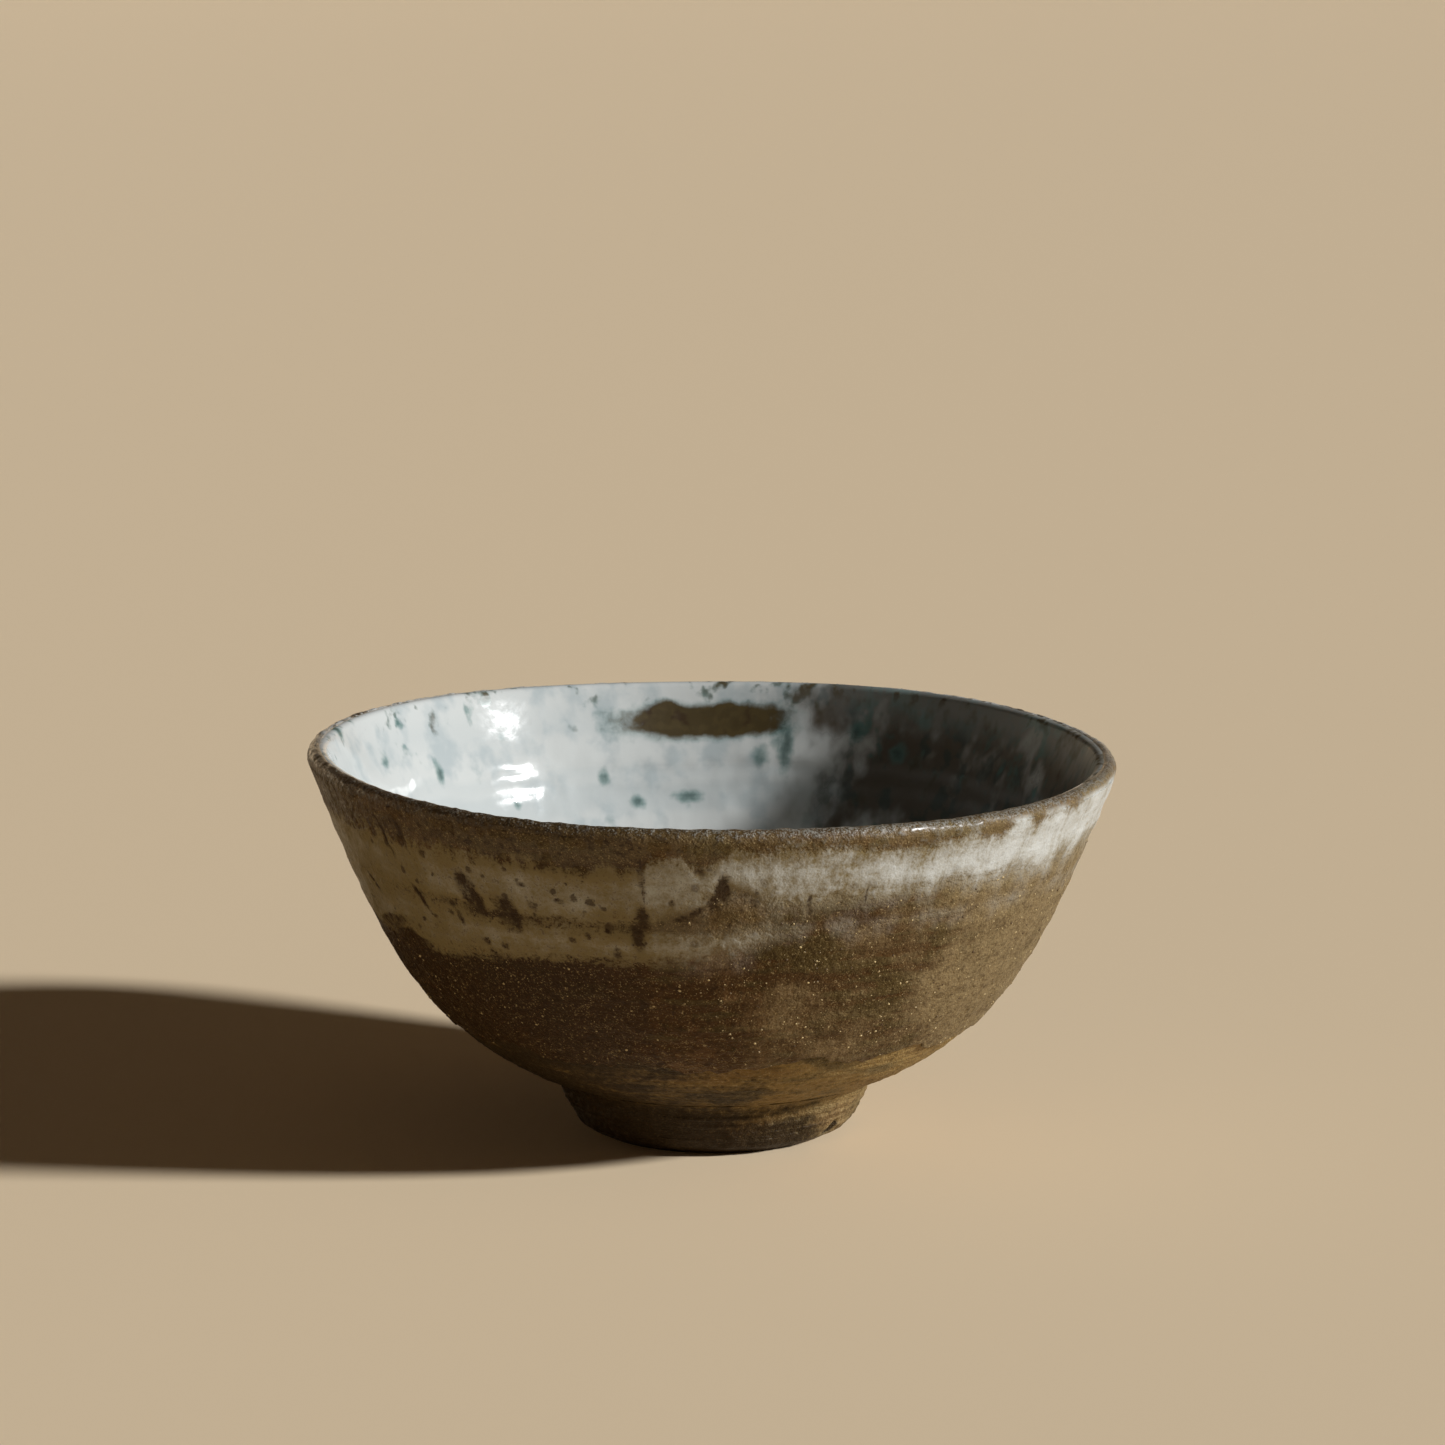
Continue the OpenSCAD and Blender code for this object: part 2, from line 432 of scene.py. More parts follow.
class Wall:
    """The bowl's clay wall, as formulas.

    A path runs along its skin: 0 at the foot, up the outside to 1, over the lip to 2, down the inside to 3,
    and across the floor to the axis at 4. A coat is a distance out from the clay.
    """

    def __init__(self):
        self.sizes = bpy.context.scene.bowl_sizes
        self.glaze = bpy.context.scene.glaze_sizes
        self.height_formula = self.draw_height()
        self.place_formula = self.draw_place()
        self.section_formula = self.draw_section()
        self.settle_formula = self.draw_settle()

    def height(self, path):
        """Height of the outside of the clay."""
        return path.graph.use(self.height_formula, {"Path": path})

    def place(self, height):
        """The path's place on the outside at a height."""
        return height.graph.use(self.place_formula, {"Height": height})

    def section(self, path, coat, pool=0.0):
        """Radius and height of a point on the path, out by its coat."""
        radius = path.graph.use(self.section_formula, {"Path": path, "Coat": coat, "Pool": pool})
        return radius, radius.beside("Height")

    def settle(self, theta, radius, height):
        """Where a point comes to rest, with the tilt and waver of the fired rim."""
        return theta.graph.use(self.settle_formula, {"Angle": theta, "Radius": radius, "Height": height})

    def radii(self, formula):
        """Radii of the four points that the wall's curve is drawn from, as a formula's inputs."""
        sizes = self.sizes
        half = sizes.lip_thickness / 2
        lip = sizes.rim_radius - self.glaze.lip_coat - half * (1 - math.sin(sizes.lip_angle))
        return [
            formula.size("Foot radius", sizes.foot_radius),
            formula.size("Belly radius", sizes.foot_radius + sizes.belly_reach * math.cos(sizes.belly_angle)),
            formula.size("Shoulder radius", lip - sizes.lip_reach * math.cos(sizes.lip_angle)),
            formula.size("Lip radius", lip),
        ]

    def heights(self, formula):
        """Heights of the same four points."""
        sizes = self.sizes
        half = sizes.lip_thickness / 2
        lip = sizes.lip_height - self.glaze.lip_coat - half * (1 + math.cos(sizes.lip_angle))
        return [
            formula.size("Foot height", sizes.foot_height),
            formula.size("Belly height", sizes.foot_height + sizes.belly_reach * math.sin(sizes.belly_angle)),
            formula.size("Shoulder height", lip - sizes.lip_reach * math.sin(sizes.lip_angle)),
            formula.size("Lip height", lip),
        ]

    def draw_height(self):
        formula = Formula("Wall height")
        path = formula.size("Path")
        formula.give("Height", bezier(self.heights(formula), path))
        return formula

    def draw_place(self):
        formula = Formula("Wall place")
        height = formula.size("Height")
        points = self.heights(formula)
        s = (height - points[0]) / (points[3] - points[0])
        for _ in range(NEWTON_STEPS):
            s = s - (bezier(points, s) - height) / bezier_slope(points, s)
        formula.give("Path", s)
        return formula

    def draw_section(self):
        formula = Formula("Wall section")
        path, coat, pool = formula.size("Path"), formula.size("Coat"), formula.size("Pool")
        radii, heights = self.radii(formula), self.heights(formula)
        wall_thickness = formula.size("Wall thickness", self.sizes.wall_thickness)
        lip_thickness = formula.size("Lip thickness", self.sizes.lip_thickness)
        floor_height = formula.size("Floor height", self.sizes.floor_height)
        s = path.leg(0, 1) - path.leg(2, 3)
        turn = path.leg(1, 2) * math.pi
        floor = path.leg(3, 4)
        run, rise = bezier_slope(radii, s), bezier_slope(heights, s)
        stride = (run * run + rise * rise).root()
        run, rise = run / stride, rise / stride
        clay = wall_thickness + (lip_thickness - wall_thickness) * s
        depth = clay * 0.5 * (1 - turn.cosine()) - coat * turn.cosine()
        along = (clay * 0.5 + coat) * turn.sine()
        radius = bezier(radii, s) - depth * rise + along * run
        height = bezier(heights, s) + depth * run + along * rise
        middle = floor_height + coat + pool
        wall = 1 - floor
        cube, square = wall * wall * wall, 3 * floor * wall * wall
        heel = radius - (height - middle) * run / rise
        formula.give("Radius", radius * cube + heel * square + radius * 1.5 * floor * floor * wall)
        formula.give("Height", middle + (height - middle) * cube)
        return formula

    def draw_settle(self):
        formula = Formula("Settle")
        theta, radius, height = formula.size("Angle"), formula.size("Radius"), formula.size("Height")
        lip_height = formula.size("Lip height", self.sizes.lip_height)
        tilt = formula.size("Rim tilt", self.sizes.rim_tilt / 2)
        shift = formula.size("Rim shift", self.sizes.rim_shift)
        waver = formula.size("Rim waver", self.sizes.rim_waver)
        tall = (height / lip_height).most(0)
        sway = tall * tall
        oval = (theta * 2 + 0.6).sine() + 0.6 * (theta * 3 + 2.1).sine()
        swell = (theta * 2 + 4.0).sine() + 0.7 * (theta * 3 + 0.4).sine() + 0.5 * (theta * 5 + 1.0).sine()
        out = radius + oval * waver * sway
        up = height - theta.sine() * tilt * sway + swell * waver * sway * sway * 0.6
        place = formula.combine(out * theta.sine() - shift * sway, -out * theta.cosine(), up)
        formula.give("Place", place, "NodeSocketVector")
        return formula


def on_wheel(tree, theta, reach, height):
    """A point at a fixed reach from the axis, so that noise read there has no seam."""
    return tree.combine(theta.sine() * reach, theta.cosine() * reach, height)


def spiral(theta, height, pitch):
    """A wave that climbs by its pitch in each turn, as a potter's fingers do."""
    return ((height / pitch + theta / math.tau) * math.tau).sine()


def unevenness(tree, place, coarse, fine, seed):
    """Noise of two sizes, each given as its size and its strength."""
    (wide, high), (narrow, low) = coarse, fine
    return tree.noise(place, wide, seed) * high + tree.noise(place, narrow, seed + 1) * low


def sheet(tree, wall, rows, seam, draw):
    """One turned sheet. draw gives radius, height and named marks from the angle and the way along."""
    flat = {"Size X": 1.0, "Size Y": 1.0, "Vertices X": COLUMNS + 1, "Vertices Y": rows + 1}
    grid = tree.node("GeometryNodeMeshGrid", inputs=flat)
    across, along, _ = tree.separate(tree.node("GeometryNodeInputPosition"))
    theta = (across + 0.5 - seam) * math.tau
    radius, height, marks = draw(theta, along + 0.5)
    for name, value in marks.items():
        grid = tree.node(
            "GeometryNodeStoreNamedAttribute",
            {"data_type": "FLOAT", "domain": "POINT"},
            {"Geometry": grid, "Name": name, "Value": value},
        )
    place = wall.settle(theta, radius, height)
    return tree.node("GeometryNodeSetPosition", inputs={"Geometry": grid, "Position": place})


def closed(tree, *sheets):
    """Sheets joined into one closed skin along the edges that they share."""
    joined = tree.node("GeometryNodeJoinGeometry", inputs={"Geometry": list(sheets)})
    return tree.node("GeometryNodeMergeByDistance", inputs={"Geometry": joined, "Distance": WELD})


def backing(wall, start, end):
    """The hidden side of a coat, from its end back to its start, just inside the clay."""

    def draw(theta, share):
        path = end(theta) + (start(theta) - end(theta)) * share
        return (*wall.section(path, share * (share - 1) * (4 * SUNK)), {})

    return draw


def glaze_coat(tree, wall, rows, seam, skin, start, end):
    """A coat of glaze as one closed skin, with so many rows on the side that shows and on the hidden one."""
    shown_rows, hidden_rows = rows
    shown = sheet(tree, wall, shown_rows, seam, skin)
    hidden = sheet(tree, wall, hidden_rows, seam, backing(wall, start, end))
    return closed(tree, shown, hidden)


def seat(piece, node):
    """Lets a finished piece stand for its solid."""
    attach(piece, BODY)
    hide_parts(node)


# Where the glazes lie on the outside


# The heights that lines round the bowl keep within, in millimetres.
BAND_LOW, BAND_HIGH = 30, 64

# Lines round the bowl, as degrees to the right of the front and millimetres up: the top of the white glaze,
# the lower edge of the first dip, and both edges of the second, thinner dip.
LIP_LINE = (
    (-180, 56.0), (-168, 54.7), (-156, 56.4), (-143, 56.0), (-131, 54.3), (-119, 55.4), (-106, 53.9),
    (-95, 55.0), (-84, 54.6), (-73, 53.6), (-63, 54.2), (-46, 54.0), (-37, 54.7), (-28, 54.4),
    (-20, 54.2), (-14.5, 54.9), (-10.5, 55.1), (-8.6, 56.6), (-6.2, 57.2), (-4.0, 57.0), (-1.6, 55.2),
    (1.0, 56.9), (6, 57.9), (12, 58.5), (18, 58.8), (23, 57.9), (32, 57.8), (39.5, 58.1), (42.7, 57.2),
    (46, 59.6), (48.5, 59.8), (51.6, 58.0), (54, 59.1), (62, 59.0), (66, 61.0), (78, 60.0), (89, 58.2),
    (98, 58.9), (109, 57.0), (121, 58.2), (134, 56.4), (147, 57.6), (158, 55.8), (169, 56.9),
    (180, 56.0),
)
FIRST_DIP = (
    (-180, 45.0), (-140, 45.8), (-105, 44.4), (-75, 44.8), (-30, 45.2), (-12, 45.3), (-7.5, 46.4),
    (-1, 48.6), (3, 51.6), (5.5, 50.4), (11, 48.9), (20, 49.5), (28, 49.8), (33, 49.6), (36.7, 51.4),
    (41.6, 49.8), (46, 50.7), (50, 50.4), (56, 49.4), (63, 50.3), (70, 51.0), (80, 50.6), (110, 47.5),
    (180, 45.0),
)
SECOND_DIP = (
    (-180, 40.0), (-167, 41.6), (-154, 39.2), (-141, 40.3), (-127, 37.6), (-112, 39.0), (-97, 37.1),
    (-83, 38.3), (-71, 36.2), (-58, 38.0), (-51, 36.0), (-43, 37.0), (-27, 38.3), (-10, 38.7),
    (-2, 40.3), (4, 41.9), (8.5, 43.3), (13, 45.2), (30, 47.0), (110, 46.0), (124, 43.6), (138, 44.4),
    (151, 41.4), (166, 42.4), (180, 40.0),
)
SECOND_TOP = (
    (-180, 47.0), (-90, 46.6), (-54, 46.4), (-44, 45.4), (-38, 44.7), (-18, 44.5), (10, 43.9),
    (110, 44.0), (180, 47.0),
)
# How thick the white glaze is round the bowl, from 0 to 1. Where it is low, on the left, the brown below is
# also given painted shade.
WHITE_BODY = (
    (-180, 0.54), (-163, 0.46), (-144, 0.58), (-124, 0.42), (-104, 0.44), (-85, 0.29), (-50, 0.3),
    (-30, 0.37), (-14, 0.43), (-10.5, 0.46), (-8.8, 0.58), (5, 0.64), (14, 0.74), (28, 0.78), (45, 0.9),
    (60, 1.0), (90, 0.9), (118, 0.66), (140, 0.7), (160, 0.5), (180, 0.54),
)
# Scars in the white glaze: degrees, height, half length, half width, lean in degrees, and how bare.
SCARS = (
    (-38.1, 47.9, 3.3, 2.1, 24, 0.16), (-38.8, 49.9, 1.2, 1.5, 0, 0.6),
    (-37.0, 47.0, 2.8, 1.2, 16, 0.6), (-31.8, 45.5, 2.9, 2.0, 30, 0.16),
    (-31.8, 46.8, 1.2, 1.8, 20, 0.6), (-30.6, 44.9, 2.4, 1.1, 10, 0.6), (-9.9, 46.8, 2.3, 1.1, 8, 0.5),
    (-11.0, 43.4, 2.6, 1.2, 0, 0.6), (-9.6, 53.4, 3.0, 0.6, 0, 0.18), (1.6, 51.8, 2.3, 1.25, 0, 0.5),
    (0.3, 49.7, 1.5, 0.8, -45, 0.3), (-2.0, 47.9, 1.7, 0.55, -63, 0.2),
    (-4.3, 46.8, 1.6, 0.5, -68, 0.15), (6.1, 49.8, 1.5, 0.8, 0, 0.15), (14.0, 48.7, 1.6, 0.55, 0, 0.15),
    (14.0, 50.0, 0.5, 0.5, 0, 0.5), (22.4, 50.2, 1.6, 0.4, -4, 0.05), (-14.5, 40.4, 1.0, 0.8, 0, 0.2),
    (-15.3, 44.6, 0.9, 0.8, 0, 0.15), (-27.1, 47.3, 1.0, 0.7, 50, 0.1), (-28.1, 50.7, 0.5, 0.9, 0, 0.1),
    (-22.3, 48.6, 0.5, 0.9, 0, 0.1), (-37.5, 39.9, 0.7, 0.8, 0, 0.2), (-34.1, 39.7, 0.6, 0.8, 0, 0.2),
    (-41.8, 43.3, 1.3, 0.6, 20, 0.15), (-1.6, 54.4, 0.6, 1.0, 0, 0.2), (-5.6, 49.3, 0.6, 0.6, 0, 0.3),
    (-54.0, 53.7, 3.4, 0.45, 16, 0.6), (-50.0, 45.0, 3.0, 0.5, 38, 0.6),
    (-64.7, 44.5, 2.8, 0.5, 54, 0.6), (-64.0, 38.6, 6.5, 1.0, -80, 0.2),
    (-57.4, 36.9, 1.8, 1.4, 0, 0.2), (-88.0, 46.5, 2.2, 0.9, 20, 0.2),
    (-104.0, 50.5, 1.2, 0.8, 0, 0.15), (-49.6, 55.6, 2.8, 0.7, 14, 0.3),
    (-121.0, 43.0, 1.0, 1.0, 0, 0.3), (-139.0, 49.0, 2.4, 0.6, 12, 0.2),
    (-161.0, 45.8, 1.3, 1.0, -20, 0.3), (172.0, 50.2, 1.6, 0.7, 0, 0.15),
    (151.0, 48.0, 2.2, 0.8, -15, 0.2), (128.0, 51.5, 1.2, 0.6, 0, 0.15),
    (104.0, 50.0, 1.5, 0.5, -8, 0.15),
)
# Throwing rings inside, as millimetres up and shares of the ring depth.
RINGS = (
    (8, 0.0), (13, 0.0), (16, 0.35), (19, -0.3), (22, 0.45), (25.5, -0.4), (29, 0.5), (32.5, -0.35),
    (36, 0.4), (38.5, 0.0), (40.5, -0.7), (42.3, -0.9), (44.6, -0.2), (45.9, -0.35), (48.3, 0.75),
    (49.2, 0.7), (53.4, -0.35), (54.4, -0.3), (58, 0.1), (62, 0.0),
)
# Dark spots in the lining: degrees, height, half width and half length.
SPOTS = (
    (245.6, 52.8, 1.4, 1.1), (257.8, 59.0, 1.4, 1.0), (232.5, 48.8, 0.9, 1.8), (208.9, 60.2, 2.0, 0.8),
    (200.2, 60.0, 1.6, 0.8), (199.4, 44.9, 1.0, 1.2), (193.7, 40.7, 1.4, 1.0), (184.4, 41.4, 2.6, 0.9),
    (217.1, 42.1, 0.9, 0.9), (155.2, 52.6, 1.6, 1.6), (143.0, 55.8, 1.5, 1.4), (147.0, 49.9, 1.8, 1.4),
    (112.0, 59.6, 2.2, 1.4), (222.0, 56.5, 0.6, 1.4), (238.0, 57.5, 0.9, 0.8), (167.4, 49.6, 1.3, 3.8),
    (168.6, 51.6, 1.6, 2.0),
)
# The bare patch in the lining, a slab with a bulge on it: millimetres across from the back, height,
# half width and half length.
BARE_SLAB = (1.5, 53.6, 16.6, 2.8)
BARE_BULGE = (7.8, 55.2, 4.5, 1.9)
# A chip in the side of the foot: degrees, height, half width, half length and lean in degrees.
CHIP = (56, 2.6, 2.0, 1.0, 30)
MARKS = ("white_depth", "lip_drop", "white_body", "veil", "scar")


def line_share(tree, theta, stops):
    """Height, from 0 to 1, of a line round the bowl that passes through the given stops."""
    curve = [((degrees + 180) / 360, share) for degrees, share in stops]
    return tree.node("ShaderNodeFloatCurve", {"curve": curve}, {"Value": theta / math.tau + 0.5})


def line_height(tree, theta, stops):
    """The same in metres, for stops in millimetres."""
    span = BAND_HIGH - BAND_LOW
    shares = [(degrees, (up - BAND_LOW) / span) for degrees, up in stops]
    return line_share(tree, theta, shares).math("MULTIPLY_ADD", span * MM, BAND_LOW * MM)


def ring_share(tree, height):
    """Rise of the throwing rings at a height, as a share of their depth."""
    low, high = RINGS[0][0], RINGS[-1][0]
    curve = [((up - low) / (high - low), (share + 1) / 2) for up, share in RINGS]
    place = (height / MM - low) / (high - low)
    return tree.node("ShaderNodeFloatCurve", {"curve": curve}, {"Value": place}) * 2 - 1


def oval_depth(place, middle, half_width, half_length, lean=0.0):
    """1 in the middle of an oval, 0 on its edge and less outside it. place is a way across and up."""
    graph = place.graph
    off = graph.vectors("SUBTRACT", place, (*middle, 0.0))
    if lean:
        turn = {"Vector": off, "Angle": -math.radians(lean)}
        off = graph.node("ShaderNodeVectorRotate", {"rotation_type": "Z_AXIS"}, turn)
    return 1 - graph.vectors("LENGTH", graph.vectors("DIVIDE", off, (half_width, half_length, 1.0)))


def draw_marks():
    """How a point lies to the glaze lines, in millimetres, for the coats and for the colours."""
    formula = Formula("Glaze marks")
    theta, height = formula.size("Angle"), formula.size("Height")
    lip = line_height(formula, theta, LIP_LINE)
    first, second = line_height(formula, theta, FIRST_DIP), line_height(formula, theta, SECOND_DIP)
    second_top = line_height(formula, theta, SECOND_TOP)
    lip_drop = lip - height
    strip = (second_top - height).least(height - second)
    formula.give("white_depth", lip_drop.least(height - first).most(strip) / MM)
    formula.give("lip_drop", lip_drop / MM)
    formula.give("veil", (height - second) / MM)
    formula.give("white_body", line_share(formula, theta, WHITE_BODY))
    scar = None
    place = formula.combine(theta * (RIM_RADIUS / MM), height / MM, 0.0)
    for degrees, up, half_length, half_width, lean, bareness in SCARS:
        middle = math.radians(degrees) * RIM_RADIUS / MM, up
        depth = oval_depth(place, middle, half_width, half_length, lean).least(bareness)
        scar = depth if scar is None else scar.most(depth)
    formula.give("scar", scar)
    formula.give("low_edge", first + (second - first) * ((second_top - second) / MM).step(0, 1))
    return formula


def marks_at(formula, theta, height):
    """The marks by their names, at an angle and a height."""
    marks = theta.graph.use(formula, {"Angle": theta, "Height": height})
    return {name: marks.beside(name) for name in MARKS}


def soft_ends(share, start, end):
    """1 along a coat, and 0 at its two ends."""
    return share.step(0, start) * share.step(1, 1 - end)


# Materials


GLAZE_GLOSS, LIP_GLOSS = 0.1, 0.25


def new_paint(name):
    """An empty material's tree and its shader."""
    material = bpy.data.materials.new(name)
    material.use_nodes = True
    material.node_tree.nodes.clear()
    graph = Graph(material.node_tree)
    shader = material.node_tree.nodes.new("ShaderNodeBsdfPrincipled")
    outlet = material.node_tree.nodes.new("ShaderNodeOutputMaterial")
    material.node_tree.links.new(shader.outputs["BSDF"], outlet.inputs["Surface"])
    return material, graph, shader


def coat_paint(graph, shader, base, roughness, relief, gloss=0.5, coat=0.0, coat_roughness=0.2):
    """Wires a finish into its shader. relief is a height in millimetres."""
    bump = graph.node("ShaderNodeBump", inputs={"Height": relief, "Distance": MM, "Strength": 1.0})
    shader.inputs["Specular IOR Level"].default_value = gloss
    shader.inputs["Coat Roughness"].default_value = coat_roughness
    sockets = {"Base Color": base, "Roughness": roughness, "Normal": bump, "Coat Weight": coat}
    for name, value in sockets.items():
        if isinstance(value, Wire):
            graph.tree.links.new(value.socket, shader.inputs[name])
        else:
            shader.inputs[name].default_value = value


def mark(graph, name):
    return graph.node("ShaderNodeAttribute", {"attribute_name": name}, output="Fac")


def object_place(graph):
    return graph.node("ShaderNodeTexCoord", output="Object")


def hanging(graph, place, stretch):
    """Coordinates that stretch a pattern down the wall."""
    x, y, z = graph.separate(place)
    radius = (x * x + y * y).root().most(MM)
    return graph.combine(x / radius * RIM_RADIUS, y / radius * RIM_RADIUS, z / stretch)


def lying(graph, place, stretch):
    """Coordinates that stretch a pattern round the wall."""
    x, y, z = graph.separate(place)
    return graph.combine(x / stretch, y / stretch, z)


def cells(graph, place, size):
    """How far the nearest of many scattered points is, and that point's own number from 0 to 1."""
    spread = {"Vector": place, "Scale": 1 / size, "Randomness": 1.0}
    far = graph.node("ShaderNodeTexVoronoi", {"feature": "F1"}, spread)
    lot, _, _ = graph.separate(far.beside("Color"))
    return far, lot


def outside_paint(name, gloss=GLAZE_GLOSS):
    """The outside: white glaze over brown, broken at the lip, at its scars and by pinholes, with painted
    shade on the left.
    """
    colours = bpy.context.scene.glaze_colours
    material, graph, shader = new_paint(name)
    place = object_place(graph)
    hung = hanging(graph, place, 5)
    fuzz = graph.noise(place, 1.1 * MM, 1.0, 3, 0.6)
    sand = graph.noise(place, 0.34 * MM, 2.0, 1)
    grit = graph.noise(place, 0.24 * MM, 7.0, 1)
    drip = graph.noise(hung, 0.7 * MM, 3.0, 2, 0.6)
    wisp = graph.noise(hung, 2.6 * MM, 5.0, 2)
    lump = graph.noise(hanging(graph, place, 1.4), 4.2 * MM, 8.0, 2)
    cloud = graph.noise(place, 9 * MM, 4.0, 2)
    rings = graph.noise(lying(graph, place, 9), 1.6 * MM, 6.0, 2, 0.6)
    depth, lip_drop = mark(graph, "white_depth"), mark(graph, "lip_drop")
    body, scar = mark(graph, "white_body"), mark(graph, "scar")
    path, veil = mark(graph, "lip_path"), mark(graph, "veil")

    near_lip, right = lip_drop.step(7, 1), body.step(0.5, 0.75)
    grain = (fuzz * 0.3 + sand * 0.2) * (1 - right * 0.45)
    low_right = right * (1 - near_lip)
    ragged = near_lip * (drip * 0.15 + wisp * 0.55) * (1 - right * 0.8) + right * lump * 0.4
    edge = depth + grain + ragged + rings * (0.25 - right * 0.18)
    soft = 0.8 + right * 0.4 + low_right * 1.2
    cover = edge.step(-soft, soft) * path.step(1.3, 1.05)
    hurt = (scar * 1.2 + fuzz * 0.1 + sand * 0.07).step(-0.4, 0.5)
    far, lot = cells(graph, place, 2.6 * MM)
    pinhole = ((lot - 0.42) * 0.55 - far + fuzz * 0.04 + sand * 0.02).step(-0.07, 0.08)
    hurt = hurt.most(pinhole * (1 - right * 0.75) * 0.8)
    cover = cover * (1 - hurt * 0.95)
    heavy = (depth * 0.16).least(0.5) + body * 1.6 - 1.15
    uneven = (lump * 0.1 + cloud * 0.12 + fuzz * 0.1 + sand * 0.08 + rings * 0.05) * (0.65 + right * 0.35)
    thick = heavy + uneven + right * (lump * 0.03 + drip * 0.07)
    white = graph.mix(thick.step(-0.45, 1.25), colours.thin_white, colours.white)
    white = graph.mix((wisp + lump * 0.4).step(0.9, 2.6) * right * 0.22, white, colours.thin_white)
    specked = (sand * 0.7 + grit * 0.4 + fuzz * 0.6).step(0.8, 2.6) * (0.55 - right * 0.35)
    white = graph.mix(specked, white, colours.brown)

    tone = graph.mix((cloud + wisp * 0.4 + rings * 0.5).step(0.2, 2.4) * 0.7, colours.brown, colours.rust)
    tone = graph.mix((rings * 0.8 - cloud * 0.8 + fuzz * 0.4).step(0.0, 2.2) * 0.8, tone, colours.olive)
    ashed = (body + cloud * 0.06 + rings * 0.02).step(0.6, 1.0) * (0.88 - lip_drop.step(3, 0) * 0.45)
    tone = graph.mix(ashed, tone, colours.ashy)
    film = (veil + cloud * 0.6 + fuzz * 0.5 + wisp * 0.3).step(-0.3, 2.6) * lip_drop.step(-0.5, 2)
    tone = graph.mix(film * 0.4, tone, colours.thin_white)
    tone = graph.mix(lip_drop.step(0.5, -1.5) * 0.38, tone, colours.thin_white)
    haze = (depth + lump * 0.8 + cloud * 0.4).step(-4.5, 0) * low_right
    tone = graph.mix(haze * 0.16, tone, colours.white)
    # Painted shade: where the white glaze is thin, most on the left side, the brown is darkened with the scar
    # colour, more so further below the lip.
    tone = graph.mix(body.step(0.55, 0.34) * (0.38 + lip_drop.step(0, 8) * 0.47), tone, colours.scar)
    tone = graph.mix((fuzz * 0.8 + sand * 0.5).step(-0.2, 2.4) * (0.75 - right * 0.35), tone, colours.scar)
    tone = graph.mix((grit - fuzz * 0.3).step(1.0, 2.8) * 0.35, tone, colours.fleck)
    tone = graph.mix(hurt * 0.85, tone, colours.scar)
    base = graph.mix(cover, tone, white)

    crest = (path + fuzz * 0.05).step(1.18, 1.46)
    ash = (grit * 0.9 + sand * 0.6 + fuzz * 0.3 + right * 1.3).step(0.2, 2.5)
    base = graph.mix(crest * 0.35, base, colours.scar)
    base = graph.mix(crest * ash * 0.8, base, colours.crest)
    milky = (wisp * 0.6 + fuzz * 0.5).step(1.3, -0.3) * mark(graph, "milky")
    base = graph.mix(crest * milky, base, colours.lining)

    roughness = 0.48 - cover * 0.06 + fuzz * 0.04 + sand * 0.03 - crest * 0.2
    relief = (fuzz * 0.028 + sand * 0.013 + rings * 0.02) * (1 - cover * 0.65) + cover * 0.04 - hurt * 0.1
    coat_paint(graph, shader, base, roughness, relief, gloss, crest, 0.28)
    return material


def clay_paint(name):
    """Bare turned clay, darker towards the base, with painted shade to the left and painted light to the
    right.
    """
    colours = bpy.context.scene.glaze_colours
    material, graph, shader = new_paint(name)
    place = object_place(graph)
    x, _, height = graph.separate(place)
    fuzz = graph.noise(place, 0.9 * MM, 11.0, 3, 0.6)
    sand = graph.noise(place, 0.3 * MM, 12.0, 1)
    cloud = graph.noise(lying(graph, place, 2.5), 5 * MM, 13.0, 2)
    lines = graph.noise(lying(graph, place, 26), 0.7 * MM, 14.0, 2, 0.6)
    smear = graph.noise(lying(graph, place, 8), 1.5 * MM, 15.0, 3, 0.6)
    ground = graph.mix(height.step(5 * MM, 12 * MM), colours.foot_clay, colours.clay)
    tone = graph.mix((cloud + lines * 0.25).step(-0.2, 2.0) * 0.85, ground, colours.olive)
    tone = graph.mix((smear * 0.5 - cloud).step(0.3, 2.2) * 0.35, tone, colours.rust)
    # Painted light: the clay is paler to the right.
    tone = graph.mix(x.step(4 * MM, 24 * MM) * 0.16, tone, colours.fleck)
    # Darker towards the base, with painted shade to the left and painted light to the right.
    left, right = x.step(8 * MM, -22 * MM), x.step(2 * MM, 24 * MM)
    low = height.step(11 * MM, 2 * MM) * 2.2 + left * 2.3 - right * 2.1 + 0.8
    burnt_and_shaded = (smear * 0.16 + cloud * 0.4 + lines * 0.06 + fuzz * 0.22 + low).step(-0.3, 2.9)
    tone = graph.mix(burnt_and_shaded * 0.95, tone, colours.dark_clay_and_shade)
    tone = graph.mix((fuzz * 0.8 + sand * 0.7).step(0.2, 2.6) * 0.5, tone, colours.dark_clay_and_shade)
    tone = graph.mix((sand - fuzz * 0.4).step(0.8, 2.6) * (0.3 - burnt_and_shaded * 0.24), tone, colours.fleck)
    chip = mark(graph, "chip") + fuzz * 0.06
    tone = graph.mix(chip.step(0.3, 0.9) * 0.2, tone, colours.fleck)
    # Painted shade: the middle of the chip's hollow is dark.
    tone = graph.mix(chip.step(0.9, 1.3) * 0.9, tone, colours.dark_clay_and_shade)
    roughness = 0.62 + fuzz * 0.04 - burnt_and_shaded * 0.08
    relief = lines * 0.03 + fuzz * 0.025 + sand * 0.018 + smear * 0.02
    coat_paint(graph, shader, tone, roughness, relief, 0.12)
    return material


